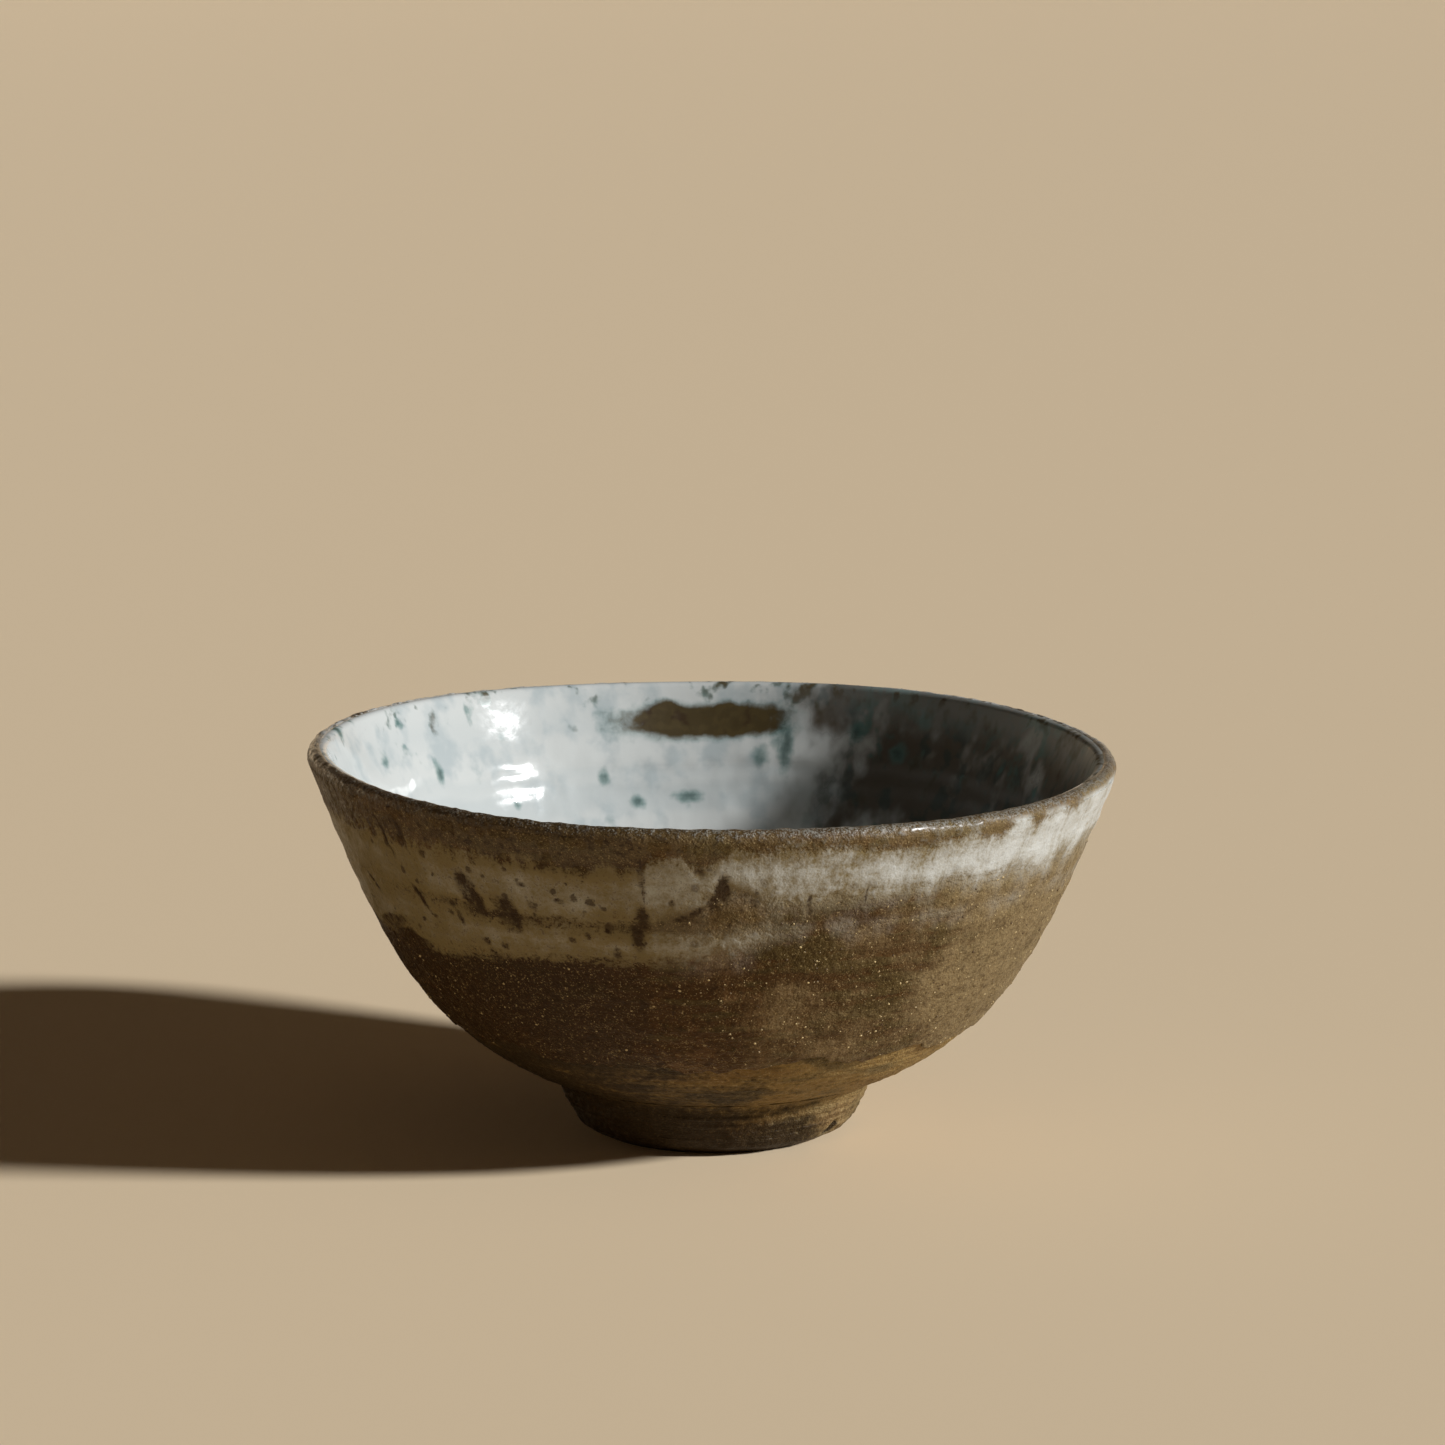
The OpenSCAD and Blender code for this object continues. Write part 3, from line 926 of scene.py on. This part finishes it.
def lining_paint(name):
    """The glassy white inside, with copper spots, one bare patch, and painted shade down its right side."""
    colours = bpy.context.scene.glaze_colours
    material, graph, shader = new_paint(name)
    place = object_place(graph)
    x, y, z = graph.separate(place)
    upright = graph.combine(x, y, z / 1.6)
    fuzz = graph.noise(place, 1.6 * MM, 21.0, 2)
    cloud = graph.noise(place, 11 * MM, 22.0, 2)
    flow = graph.noise(upright, 5 * MM, 23.0, 2)
    stain = graph.noise(upright, 3.0 * MM, 25.0, 2)
    blot = graph.noise(upright, 4 * MM, 26.0, 2, 0.6)
    path, bare, spot = mark(graph, "lip_path"), mark(graph, "bare"), mark(graph, "spot")
    # shade marks the right side of the inside, which is given painted shade.
    shade, brown_rim = mark(graph, "mottle"), mark(graph, "brown_rim")

    deep = (cloud * 0.5 + flow * 0.6 + fuzz * 0.2).step(-0.4, 2.0)
    milk = graph.mix(deep * 0.8, colours.lining, colours.pooled)
    milk = graph.mix(mark(graph, "ring").step(0.3, -0.8) * 0.4, milk, colours.pooled)
    milk = graph.mix((path - 3.3).step(0, 0.6) * 0.4, milk, colours.pooled)
    # Painted shade: the right side of the inside is painted dark, with darker blots in it.
    painted_shade = (shade * 2.0 + cloud * 0.3 + stain * 0.15).step(0.2, 1.8) * shade.step(0, 0.4)
    milk = graph.mix(painted_shade * 0.94, milk, colours.painted_shade_colour)
    milk = graph.mix((blot + fuzz * 0.25).step(0.1, 1.8) * painted_shade * 0.65, milk, colours.pit)
    far, lot = cells(graph, upright, 8 * MM)
    drop = (((lot - 0.6) * 0.35 - far) * 6 + fuzz * 0.1).most(spot * 1.4 + fuzz * 0.12)
    milk = graph.mix(drop.step(-0.9, 0.5) * 0.65, milk, colours.teal)
    core = drop.step(0.0, 1.2)
    milk = graph.mix(core * 0.6, milk, colours.pit)
    # Mottles along the rim, and browner ones all over the painted shade on the right.
    rim = path.step(2.14, 1.95) * 1.2 + shade
    mottles_and_shade = (rim + stain * 0.65 + fuzz * 0.2).step(1.5, 3.0) * (path.step(2.16, 2.04) + shade).least(1)
    murk = graph.mix((stain * 0.4 + cloud * 0.5 + shade).step(0.5, 2.2), colours.teal, colours.bare)
    milk = graph.mix(mottles_and_shade * 0.8, milk, murk)
    # Within the painted shade, a blue-grey band is left along the rim.
    pale_rim = (path + stain * 0.01).step(2.1, 2.01) * shade
    milk = graph.mix(pale_rim * 0.34, milk, colours.pooled)
    worn_path = path - brown_rim * 0.3 + 0.15
    worn = (worn_path.step(1.9, 1.6) * 1.6 + stain * 0.6 + fuzz * 0.3).step(0.5, 1.9) * path.step(2.05, 1.95)
    thin = graph.mix((stain * 0.5 + fuzz * 0.6).step(-0.3, 1.6), colours.crest, colours.olive)
    milk = graph.mix(worn * 0.85, milk, thin)
    shore = bare + fuzz * 0.03 + flow * 0.05
    milk = graph.mix(shore.step(-0.3, 0.0) * 0.35, milk, colours.teal)
    earth = graph.mix((fuzz + cloud * 0.6).step(-0.2, 2.0) * 0.6, colours.bare, colours.olive)
    earth = graph.mix((stain * 0.8 - fuzz * 0.4).step(0.2, 2.0) * 0.7, earth, colours.scar)
    hole = shore.step(-0.14, 0.24)
    base = graph.mix(hole, milk, earth)
    roughness = 0.12 + hole * 0.3 + fuzz * 0.01 + mottles_and_shade * 0.1 + worn * 0.2 + painted_shade * 0.3
    relief = fuzz * 0.0015 + flow * 0.006 - core * 0.01 - hole * 0.05
    coat_paint(graph, shader, base, roughness, relief, 0.5, 0.3 - painted_shade * 0.28, 0.06)
    return material


def grain_paint(name, pale, dark, roughness):
    """Grains of sand, each a little different."""
    material, graph, shader = new_paint(name)
    place = object_place(graph)
    each = graph.noise(place, 1.6 * MM, 31.0, 1)
    grit = graph.noise(place, 0.2 * MM, 32.0, 1)
    base = graph.mix((each + grit * 0.3).step(0.9, -1.4), pale, dark)
    coat_paint(graph, shader, base, roughness + grit * 0.05, grit * 0.01)
    return material


# The pieces


class BOWL_OT_clay_bowl(bpy.types.Operator):
    """Throws the clay wall and floor, with turning lines above the foot."""

    bl_idname = "bowl.clay_bowl"
    bl_label = "Clay bowl"

    def execute(self, context):
        sizes, glaze = context.scene.bowl_sizes, context.scene.glaze_sizes
        tree = Growth("Clay bowl")
        wall = Wall()
        pitch = tree.size("Turning line pitch", glaze.line_pitch)
        line = tree.size("Turning line depth", glaze.line_depth)
        bore = tree.size("Bore radius", sizes.bore_radius)
        recess = tree.size("Recess height", sizes.recess_depth)
        foot_radius = tree.size("Foot radius", sizes.foot_radius)
        foot_height = tree.size("Foot height", sizes.foot_height)
        turned_share, turned_path = 0.5, 0.5
        skin_rows, under_rows = 96, 20

        def skin(theta, share):
            path = share.leg(0, turned_share) * turned_path
            path = path + share.leg(turned_share, 1) * (4 - turned_path)
            height = wall.height(path.least(1))
            around = on_wheel(tree, theta, FOOT_RADIUS, height)
            uneven = tree.noise(around, 7 * MM, 41.0)
            thread = (height / pitch + theta / math.tau + uneven * 0.2) * math.tau
            groove = thread.sine() + tree.noise(around, 1.2 * MM, 42.0) * 0.4 + uneven * 0.6
            coat = line * groove * path.step(0, 0.03) * path.step(turned_path, turned_path - 0.08)
            return (*wall.section(path, coat), {})

        def under(theta, share):
            flat, side, out = share.leg(0, 0.4), share.leg(0.4, 0.6), share.leg(0.6, 1)
            radius = bore * flat + (foot_radius - bore) * out
            return radius, recess + (foot_height - recess) * side, {}

        above = sheet(tree, wall, skin_rows, BACK_SEAM, skin)
        below = sheet(tree, wall, under_rows, BACK_SEAM, under)
        paint = clay_paint("turned stoneware clay")
        seat(tree.grow("clay_bowl_turned", closed(tree, above, below), paint), "clay_bowl")
        return {"FINISHED"}


class BOWL_OT_foot_ring(bpy.types.Operator):
    """Turns the foot ring that the bowl stands on."""

    bl_idname = "bowl.foot_ring"
    bl_label = "Foot ring"

    def execute(self, context):
        sizes, glaze = context.scene.bowl_sizes, context.scene.glaze_sizes
        tree = Growth("Foot ring")
        wall = Wall()
        base = tree.size("Foot base radius", sizes.foot_base_radius)
        edge = tree.size("Foot edge", sizes.foot_edge)
        swell = tree.size("Foot swell", sizes.foot_swell)
        bore = tree.size("Bore radius", sizes.bore_radius)
        line = tree.size("Turning line depth", glaze.line_depth)
        top = tree.size("Foot radius", sizes.foot_radius)
        tall = tree.size("Foot height", sizes.foot_height)
        flare = tree.size("Flare", sizes.foot_flare)
        belly = tree.size("Belly angle", sizes.belly_angle)
        side_share = 0.85
        rows, groove_pitch = 110, 1.3 * MM
        fullness, chip_hollow = 1.1 * MM, 0.8 * MM

        def loop(theta, share):
            land, heel = share.leg(0, 0.07), share.leg(0.07, 0.19) * (math.pi / 2)
            side, blend = share.leg(0.19, 0.6) * side_share, share.leg(0.6, 0.74)
            seat_in, hollow = share.leg(0.74, 0.8), share.leg(0.8, 0.9)
            toe = share.leg(0.9, 1) * (math.pi / 2)
            rest, apart = 1 - side, 1 - blend
            span = ((top - base) * (top - base) + tall * tall).root()
            belly_r = (base + top) * 0.5 + swell * 2 * tall / span
            belly_z = tall * 0.5 - swell * 2 * (top - base) / span
            side_r = base * rest * rest + belly_r * 2 * side * rest + top * side * side
            side_z = edge * rest * rest + belly_z * 2 * side * rest + tall * side * side
            crook_r, crook_z = top + flare * 0.07, tall + flare * 0.024
            end_r, end_z = crook_r + flare * belly.cosine(), crook_z + flare * belly.sine()
            side_r = side_r * apart * apart + crook_r * 2 * blend * apart + end_r * blend * blend - base
            side_z = side_z * apart * apart + crook_z * 2 * blend * apart + end_z * blend * blend - edge
            radius = bore + edge + (base - bore - edge * 2) * land + edge * heel.sine() + side_r
            radius = radius + (bore - end_r) * seat_in + edge * (1 - toe.cosine())
            height = edge * (1 - heel.cosine()) + side_z + (tall - end_z) * seat_in
            height = height + (edge - tall) * hollow - edge * toe.sine()
            around = on_wheel(tree, theta, FOOT_RADIUS, height)
            shown = side.step(0, 0.08) * blend.step(1, 0.5)
            uneven = unevenness(tree, around, (6 * MM, 0.12 * MM), (1.6 * MM, 0.05 * MM), 51.0)
            groove = spiral(theta, height, groove_pitch) * line
            degrees, up, half_width, half_length, lean = CHIP
            spread = tree.combine((theta - math.radians(degrees)) * (FOOT_RADIUS / MM), height / MM, 0.0)
            chip = oval_depth(spread, (0.0, up), half_width, half_length, lean)
            hollowed = chip.step(-0.1, 0.5) * chip_hollow
            # The side is fuller near the table than a plain cone.
            low = height.step(0, 1.1 * MM) * height.step(4.8 * MM, 1.2 * MM) * (1 - seat_in)
            turned = radius + low * fullness + shown * (uneven + groove - hollowed)
            return turned, height, {"chip": (chip + 1).most(0) * shown}

        ring = closed(tree, sheet(tree, wall, rows, BACK_SEAM, loop))
        paint = clay_paint("turned foot clay")
        seat(tree.grow("foot_ring_turned", ring, paint), "foot_ring")
        return {"FINISHED"}


class BOWL_OT_brown_glaze(bpy.types.Operator):
    """Coats the outside with brown glaze, down to a ledge above the foot."""

    bl_idname = "bowl.brown_glaze"
    bl_label = "Brown glaze"

    def execute(self, context):
        glaze = context.scene.glaze_sizes
        tree = Growth("Outside brown glaze")
        wall = Wall()
        ledge = tree.size("Ledge height", glaze.ledge_height)
        coat_size = tree.size("Brown coat", glaze.brown_coat)
        top = tree.size("Top height", 55 * MM)
        rows = 110, 8
        marks = draw_marks()

        def start(theta):
            level = on_wheel(tree, theta, RIM_RADIUS, 0.0)
            uneven = unevenness(tree, level, (14 * MM, 0.5 * MM), (3 * MM, 0.15 * MM), 61.0)
            return wall.place(ledge + uneven)

        def end(theta):
            return wall.place(top)

        def skin(theta, share):
            path = start(theta) + (end(theta) - start(theta)) * share ** 1.3
            height = wall.height(path)
            around = on_wheel(tree, theta, RIM_RADIUS, height)
            uneven = unevenness(tree, around, (6 * MM, 0.1), (1.5 * MM, 0.07), 63.0)
            ring = spiral(theta, height, RING_PITCH) * RING_SHARE
            coat = coat_size * (1 + uneven + ring) * soft_ends(share, 0.02, 0.03)
            return (*wall.section(path, coat), marks_at(marks, theta, height))

        coat = glaze_coat(tree, wall, rows, BACK_SEAM, skin, start, end)
        piece = tree.grow("outside_brown_glaze_coat", coat, outside_paint("brown glaze"))
        seat(piece, "outside_brown_glaze")
        return {"FINISHED"}


class BOWL_OT_lip_glaze(bpy.types.Operator):
    """Coats the lip with thin brown glaze."""

    bl_idname = "bowl.lip_glaze"
    bl_label = "Lip glaze"

    def execute(self, context):
        glaze = context.scene.glaze_sizes
        tree = Growth("Lip glaze")
        wall = Wall()
        coat_size = tree.size("Lip coat", glaze.lip_coat)
        low = tree.size("Low height", 53 * MM)
        inner_end, sway = 1.86, 0.14
        rows = 60, 16
        marks = draw_marks()

        def start(theta):
            return wall.place(low)

        def end(theta):
            return theta.cosine() * sway + inner_end

        def skin(theta, share):
            path = start(theta) + (1 - start(theta)) * share.leg(0, 0.4)
            path = path + (end(theta) - 1) * share.leg(0.4, 1)
            height = wall.height(path.least(1))
            around = on_wheel(tree, theta, RIM_RADIUS, path * 4 * MM)
            uneven = unevenness(tree, around, (5 * MM, 0.1), (1.2 * MM, 0.08), 71.0)
            coat = coat_size * (0.9 + uneven) * soft_ends(share, 0.04, 0.25)
            found = {"lip_path": path, "milky": theta.cosine().step(0.15, -0.45)}
            return (*wall.section(path, coat), {**marks_at(marks, theta, height), **found})

        coat = glaze_coat(tree, wall, rows, BACK_SEAM, skin, start, end)
        piece = tree.grow("lip_glaze_coat", coat, outside_paint("lip glaze", LIP_GLOSS))
        seat(piece, "lip_glaze")
        return {"FINISHED"}


class BOWL_OT_white_glaze(bpy.types.Operator):
    """Lays the dipped white glaze over the brown, thin at its edges."""

    bl_idname = "bowl.white_glaze"
    bl_label = "White glaze"

    def execute(self, context):
        glaze = context.scene.glaze_sizes
        tree = Growth("Outside white glaze")
        wall = Wall()
        under = tree.size("Brown coat", glaze.brown_coat)
        over = tree.size("White coat", glaze.white_coat)
        margin = tree.size("Margin", 2.5 * MM)
        top_path = 1.1
        rows = 90, 8
        marks = draw_marks()

        def start(theta):
            low = tree.use(marks, {"Angle": theta}, "low_edge")
            return wall.place(low - margin)

        def end(theta):
            return theta * 0 + top_path

        def skin(theta, share):
            path = start(theta) + (end(theta) - start(theta)) * share
            height = wall.height(path.least(1))
            around = on_wheel(tree, theta, RIM_RADIUS, height)
            found = marks_at(marks, theta, height)
            depth = found["white_depth"] + tree.noise(around, 2.2 * MM, 81.0) * 0.4
            whole = depth.step(-1.0, 2.0) * found["scar"].step(0.5, -0.1)
            bead = depth.step(0, 1.2) * depth.step(3.5, 1.2) * 0.2
            uneven = unevenness(tree, around, (6 * MM, 0.2), (1.5 * MM, 0.18), 82.0)
            ring = spiral(theta, height, RING_PITCH) * RING_SHARE
            coat = under * (0.82 + ring) + over * (whole * 1.4 + bead + uneven)
            return (*wall.section(path, coat * soft_ends(share, 0.03, 0.03)), found)

        coat = glaze_coat(tree, wall, rows, BACK_SEAM, skin, start, end)
        piece = tree.grow("outside_white_glaze_coat", coat, outside_paint("white glaze"))
        seat(piece, "outside_white_glaze")
        return {"FINISHED"}


class BOWL_OT_lining(bpy.types.Operator):
    """Lines the bowl with white glaze that follows the throwing rings."""

    bl_idname = "bowl.lining"
    bl_label = "Inside white glaze"

    def execute(self, context):
        glaze = context.scene.glaze_sizes
        tree = Growth("Inside white glaze")
        wall = Wall()
        lining = tree.size("Lining", glaze.lining)
        pool_size = tree.size("Pool", glaze.pool)
        ring_depth = tree.size("Ring depth", glaze.ring_depth)
        first_path, sway, rim_path = 1.54, 0.14, 2.15
        rows = 130, 16

        def start(theta):
            return theta.cosine() * sway + first_path

        def end(theta):
            return theta * 0 + 4.0

        def skin(theta, share):
            first = start(theta)
            path = first + (rim_path - first) * share.leg(0, 0.15)
            path = path + (3 - rim_path) * share.leg(0.15, 0.75) + share.leg(0.75, 1)
            height = wall.height(3 - path.least(3).most(2))
            around = on_wheel(tree, theta, RIM_RADIUS, height)
            wander = unevenness(tree, around, (30 * MM, 0.6 * MM), (8 * MM, 0.2 * MM), 91.0)
            ring = ring_share(tree, height + wander)
            lively = (theta - math.radians(212)).cosine().step(-0.3, 0.8)
            strength = 0.4 + lively * 0.6 + tree.noise(around, 22 * MM, 93.0) * 0.12
            rings = ring * strength * ring_depth
            across, rise = (theta - math.pi) * (RIM_RADIUS / MM), height / MM
            spread = tree.combine(across, rise, 0.0)
            middle, up, half_width, half_length = BARE_SLAB
            wide, tall = (across - middle) / half_width, (rise - up + across * 0.02) / half_length
            slab = 1 - (wide**4 + tall**4) ** 0.25
            middle, up, half_width, half_length = BARE_BULGE
            bare = slab.most(oval_depth(spread, (middle, up), half_width, half_length))
            spot = None
            for turned, up, half_width, half_length in SPOTS:
                middle = math.radians(turned - 180) * RIM_RADIUS / MM, up
                depth = oval_depth(spread, middle, half_width, half_length)
                spot = depth if spot is None else spot.most(depth)
            degrees = theta * math.degrees(1)
            # Painted shade: marks the right side of the inside, above the floor, to be painted dark.
            mottle = (degrees - 115).math("ABSOLUTE").step(62, 30) * height.step(29 * MM, 43 * MM)
            brown_rim = degrees.step(140, 110) + degrees.step(300, 330)
            uneven = tree.noise(around, 9 * MM, 94.0) * (0.04 * MM) * path.step(3.5, 3.0)
            coat = lining * path.step(first, first + 0.5) + (rings + uneven) * path.step(1.95, 2.2)
            coat = coat - bare.step(-0.1, 0.25) * 0.4 * lining
            pool = pool_size * path.leg(3, 4)
            marks = {"lip_path": path, "bare": bare, "spot": spot}
            marks |= {"mottle": mottle, "brown_rim": brown_rim, "ring": ring}
            return (*wall.section(path, coat, pool), marks)

        coat = glaze_coat(tree, wall, rows, FRONT_SEAM, skin, start, end)
        piece = tree.grow("inside_white_glaze_lining", coat, lining_paint("white lining"))
        seat(piece, "inside_white_glaze")
        return {"FINISHED"}


def scatter(piece_name, source, chosen, per_area, largest, seed, paint):
    """Grains half sunk in a glazed piece. chosen says where they lie, from the source's own marks."""
    tree = Growth(piece_name)
    radius = tree.size("Grain radius", largest)
    density = tree.size("Grains per square metre", per_area)
    surface = {"Mesh": tree.base(), "Selection": chosen(tree), "Density": density, "Seed": seed}
    points = tree.node("GeometryNodeDistributePointsOnFaces", {"distribute_method": "RANDOM"}, surface)
    chance = tree.chance(1.0, seed + 1)
    scale = radius * (0.25 + 0.75 * chance**4)
    spin = tree.combine(0.0, 0.0, tree.chance(math.tau, seed + 2))
    lay = {"Rotation": points.beside("Rotation"), "Rotate By": spin}
    turn = tree.node("FunctionNodeRotateRotation", {"rotation_space": "LOCAL"}, lay)
    grain = tree.node("GeometryNodeMeshIcoSphere", inputs={"Radius": 1.0, "Subdivisions": 1})
    placed = {"Points": points, "Instance": grain, "Rotation": turn}
    placed["Scale"] = tree.combine(scale, scale * 0.75, scale * 0.4)
    grains = tree.node("GeometryNodeInstanceOnPoints", inputs=placed)
    return tree.grow(piece_name, grains, paint, source.data.copy())


class BOWL_OT_grains(bpy.types.Operator):
    """Scatters pale grains in the brown glaze and sand on the lip."""

    bl_idname = "bowl.grains"
    bl_label = "Grains and sand"

    def execute(self, context):
        glaze, colours = context.scene.glaze_sizes, context.scene.glaze_colours
        # Grains to a square metre.
        grain_count, sand_count = 3e5, 1.6e6
        grain_seed, sand_seed = 3, 9
        crest_path, crest_reach = 1.45, 0.3

        def field(tree, name):
            return tree.node("GeometryNodeInputNamedAttribute", {"data_type": "FLOAT"}, {"Name": name})

        def below(value, limit):
            compare = {"data_type": "FLOAT", "operation": "LESS_THAN"}
            return value.graph.node("FunctionNodeCompare", compare, {"A": value, "B": limit})

        def on_brown(tree):
            bare = below(field(tree, "white_depth"), -1.0)
            glazed = below(field(tree, "lip_drop"), 40.0)
            return tree.node("FunctionNodeBooleanMath", {"operation": "AND"}, {0: bare, 1: glazed})

        def on_crest(tree):
            path = field(tree, "lip_path")
            return below((path - crest_path) * (path - crest_path), crest_reach * crest_reach)

        brown = bpy.data.objects["outside_brown_glaze_coat"]
        pale = grain_paint("pale grains", colours.fleck, colours.brown, 0.5)
        grains = scatter("glaze_grains", brown, on_brown, grain_count, glaze.grain_radius, grain_seed, pale)
        lip = bpy.data.objects["lip_glaze_coat"]
        sandy = grain_paint("lip sand", colours.crest, colours.scar, 0.35)
        sand = scatter("lip_sand", lip, on_crest, sand_count, glaze.sand_radius, sand_seed, sandy)
        for piece, slot in ((grains, "outside_brown"), (sand, "lip_brown")):
            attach(piece, BODY)
        return {"FINISHED"}


# The stage


class BOWL_OT_stage(bpy.types.Operator):
    """Sets the floor, the lamps and the camera."""

    bl_idname = "bowl.stage"
    bl_label = "Stage"

    def execute(self, context):
        look = context.scene.stage_look
        self.floor(look)
        self.lamps(context.scene, look)
        self.camera(context.scene, look)
        context.scene.view_settings.view_transform = "Standard"
        return {"FINISHED"}

    def floor(self, look):
        """A round floor whose edge bends up into a low backdrop."""
        radius, bend, rise, sides = 4.0, 0.4, 0.3, 96
        arc = [math.radians(a) for a in range(0, 91, 10)]
        profile = [(radius + bend * math.sin(a), bend - bend * math.cos(a)) for a in arc]
        profile.append((radius + bend, bend + rise))
        turns = [math.tau * i / sides for i in range(sides)]
        points = [(r * math.cos(t), r * math.sin(t), z) for r, z in profile for t in turns]
        faces = [range(sides)]
        for start in range(0, len(points) - sides, sides):
            for i in range(sides):
                here, beside = start + i, start + (i + 1) % sides
                faces.append((here, here + sides, beside + sides, beside))
        mesh = bpy.data.meshes.new("floor")
        mesh.from_pydata(points, [], faces)
        mesh.shade_smooth()
        floor = bpy.data.objects.new("floor", mesh)
        bpy.context.scene.collection.objects.link(floor)
        material, _, shader = new_paint("plain floor")
        shader.inputs["Base Color"].default_value = look.floor
        shader.inputs["Roughness"].default_value = 0.8
        shader.inputs["Specular IOR Level"].default_value = 0.2
        mesh.materials.append(material)

    def lamps(self, scene, look):
        lamp = bpy.data.lights.new("key", "SUN")
        lamp.energy = look.key_strength
        lamp.angle = look.key_spread
        key = bpy.data.objects.new("key", lamp)
        key.rotation_euler = (math.pi / 2 - look.key_height, 0, look.key_side)
        scene.collection.objects.link(key)
        world = bpy.data.worlds.new("soft fill")
        world.use_nodes = True
        world.node_tree.nodes["Background"].inputs["Color"].default_value = look.fill_tint
        world.node_tree.nodes["Background"].inputs["Strength"].default_value = look.fill
        scene.world = world

    def camera(self, scene, look):
        lens = bpy.data.cameras.new("camera")
        lens.sensor_width = 24
        lens.lens = 100
        camera = bpy.data.objects.new("camera", lens)
        camera.location = (look.camera_side, -look.camera_back, look.camera_up)
        camera.rotation_euler = (math.pi / 2 - look.camera_dip, 0, 0)
        scene.collection.objects.link(camera)
        scene.camera = camera


class BOWL_PT_pieces(bpy.types.Panel):
    """Lists the bowl's sizes, colours and pieces."""

    bl_idname = "BOWL_PT_pieces"
    bl_label = "Matcha Bowl"
    bl_space_type = "VIEW_3D"
    bl_region_type = "UI"
    bl_category = "Bowl"

    def draw(self, context):
        for group in GROUPS:
            box = self.layout.box()
            values = getattr(context.scene, group)
            for name in values.__annotations__:
                box.prop(values, name)
        for operator in PIECES:
            self.layout.operator(operator.bl_idname)


PIECES = (
    BOWL_OT_clay_bowl,
    BOWL_OT_foot_ring,
    BOWL_OT_brown_glaze,
    BOWL_OT_lip_glaze,
    BOWL_OT_white_glaze,
    BOWL_OT_lining,
    BOWL_OT_grains,
    BOWL_OT_stage,
)
GROUPS = {
    "bowl_sizes": BowlSizes,
    "glaze_sizes": GlazeSizes,
    "glaze_colours": GlazeColours,
    "stage_look": StageLook,
}


def register():
    for group in (*GROUPS.values(), *PIECES, BOWL_PT_pieces):
        bpy.utils.register_class(group)
    for name, group in GROUPS.items():
        setattr(bpy.types.Scene, name, bpy.props.PointerProperty(type=group))


def unregister():
    for name in GROUPS:
        delattr(bpy.types.Scene, name)
    for group in (BOWL_PT_pieces, *reversed(PIECES), *reversed(list(GROUPS.values()))):
        bpy.utils.unregister_class(group)


def main():
    register()
    bpy.ops.bowl.clay_bowl()
    bpy.ops.bowl.foot_ring()
    bpy.ops.bowl.brown_glaze()
    bpy.ops.bowl.lip_glaze()
    bpy.ops.bowl.white_glaze()
    bpy.ops.bowl.lining()
    bpy.ops.bowl.grains()
    bpy.ops.bowl.stage()


if __name__ == "__main__":
    main()
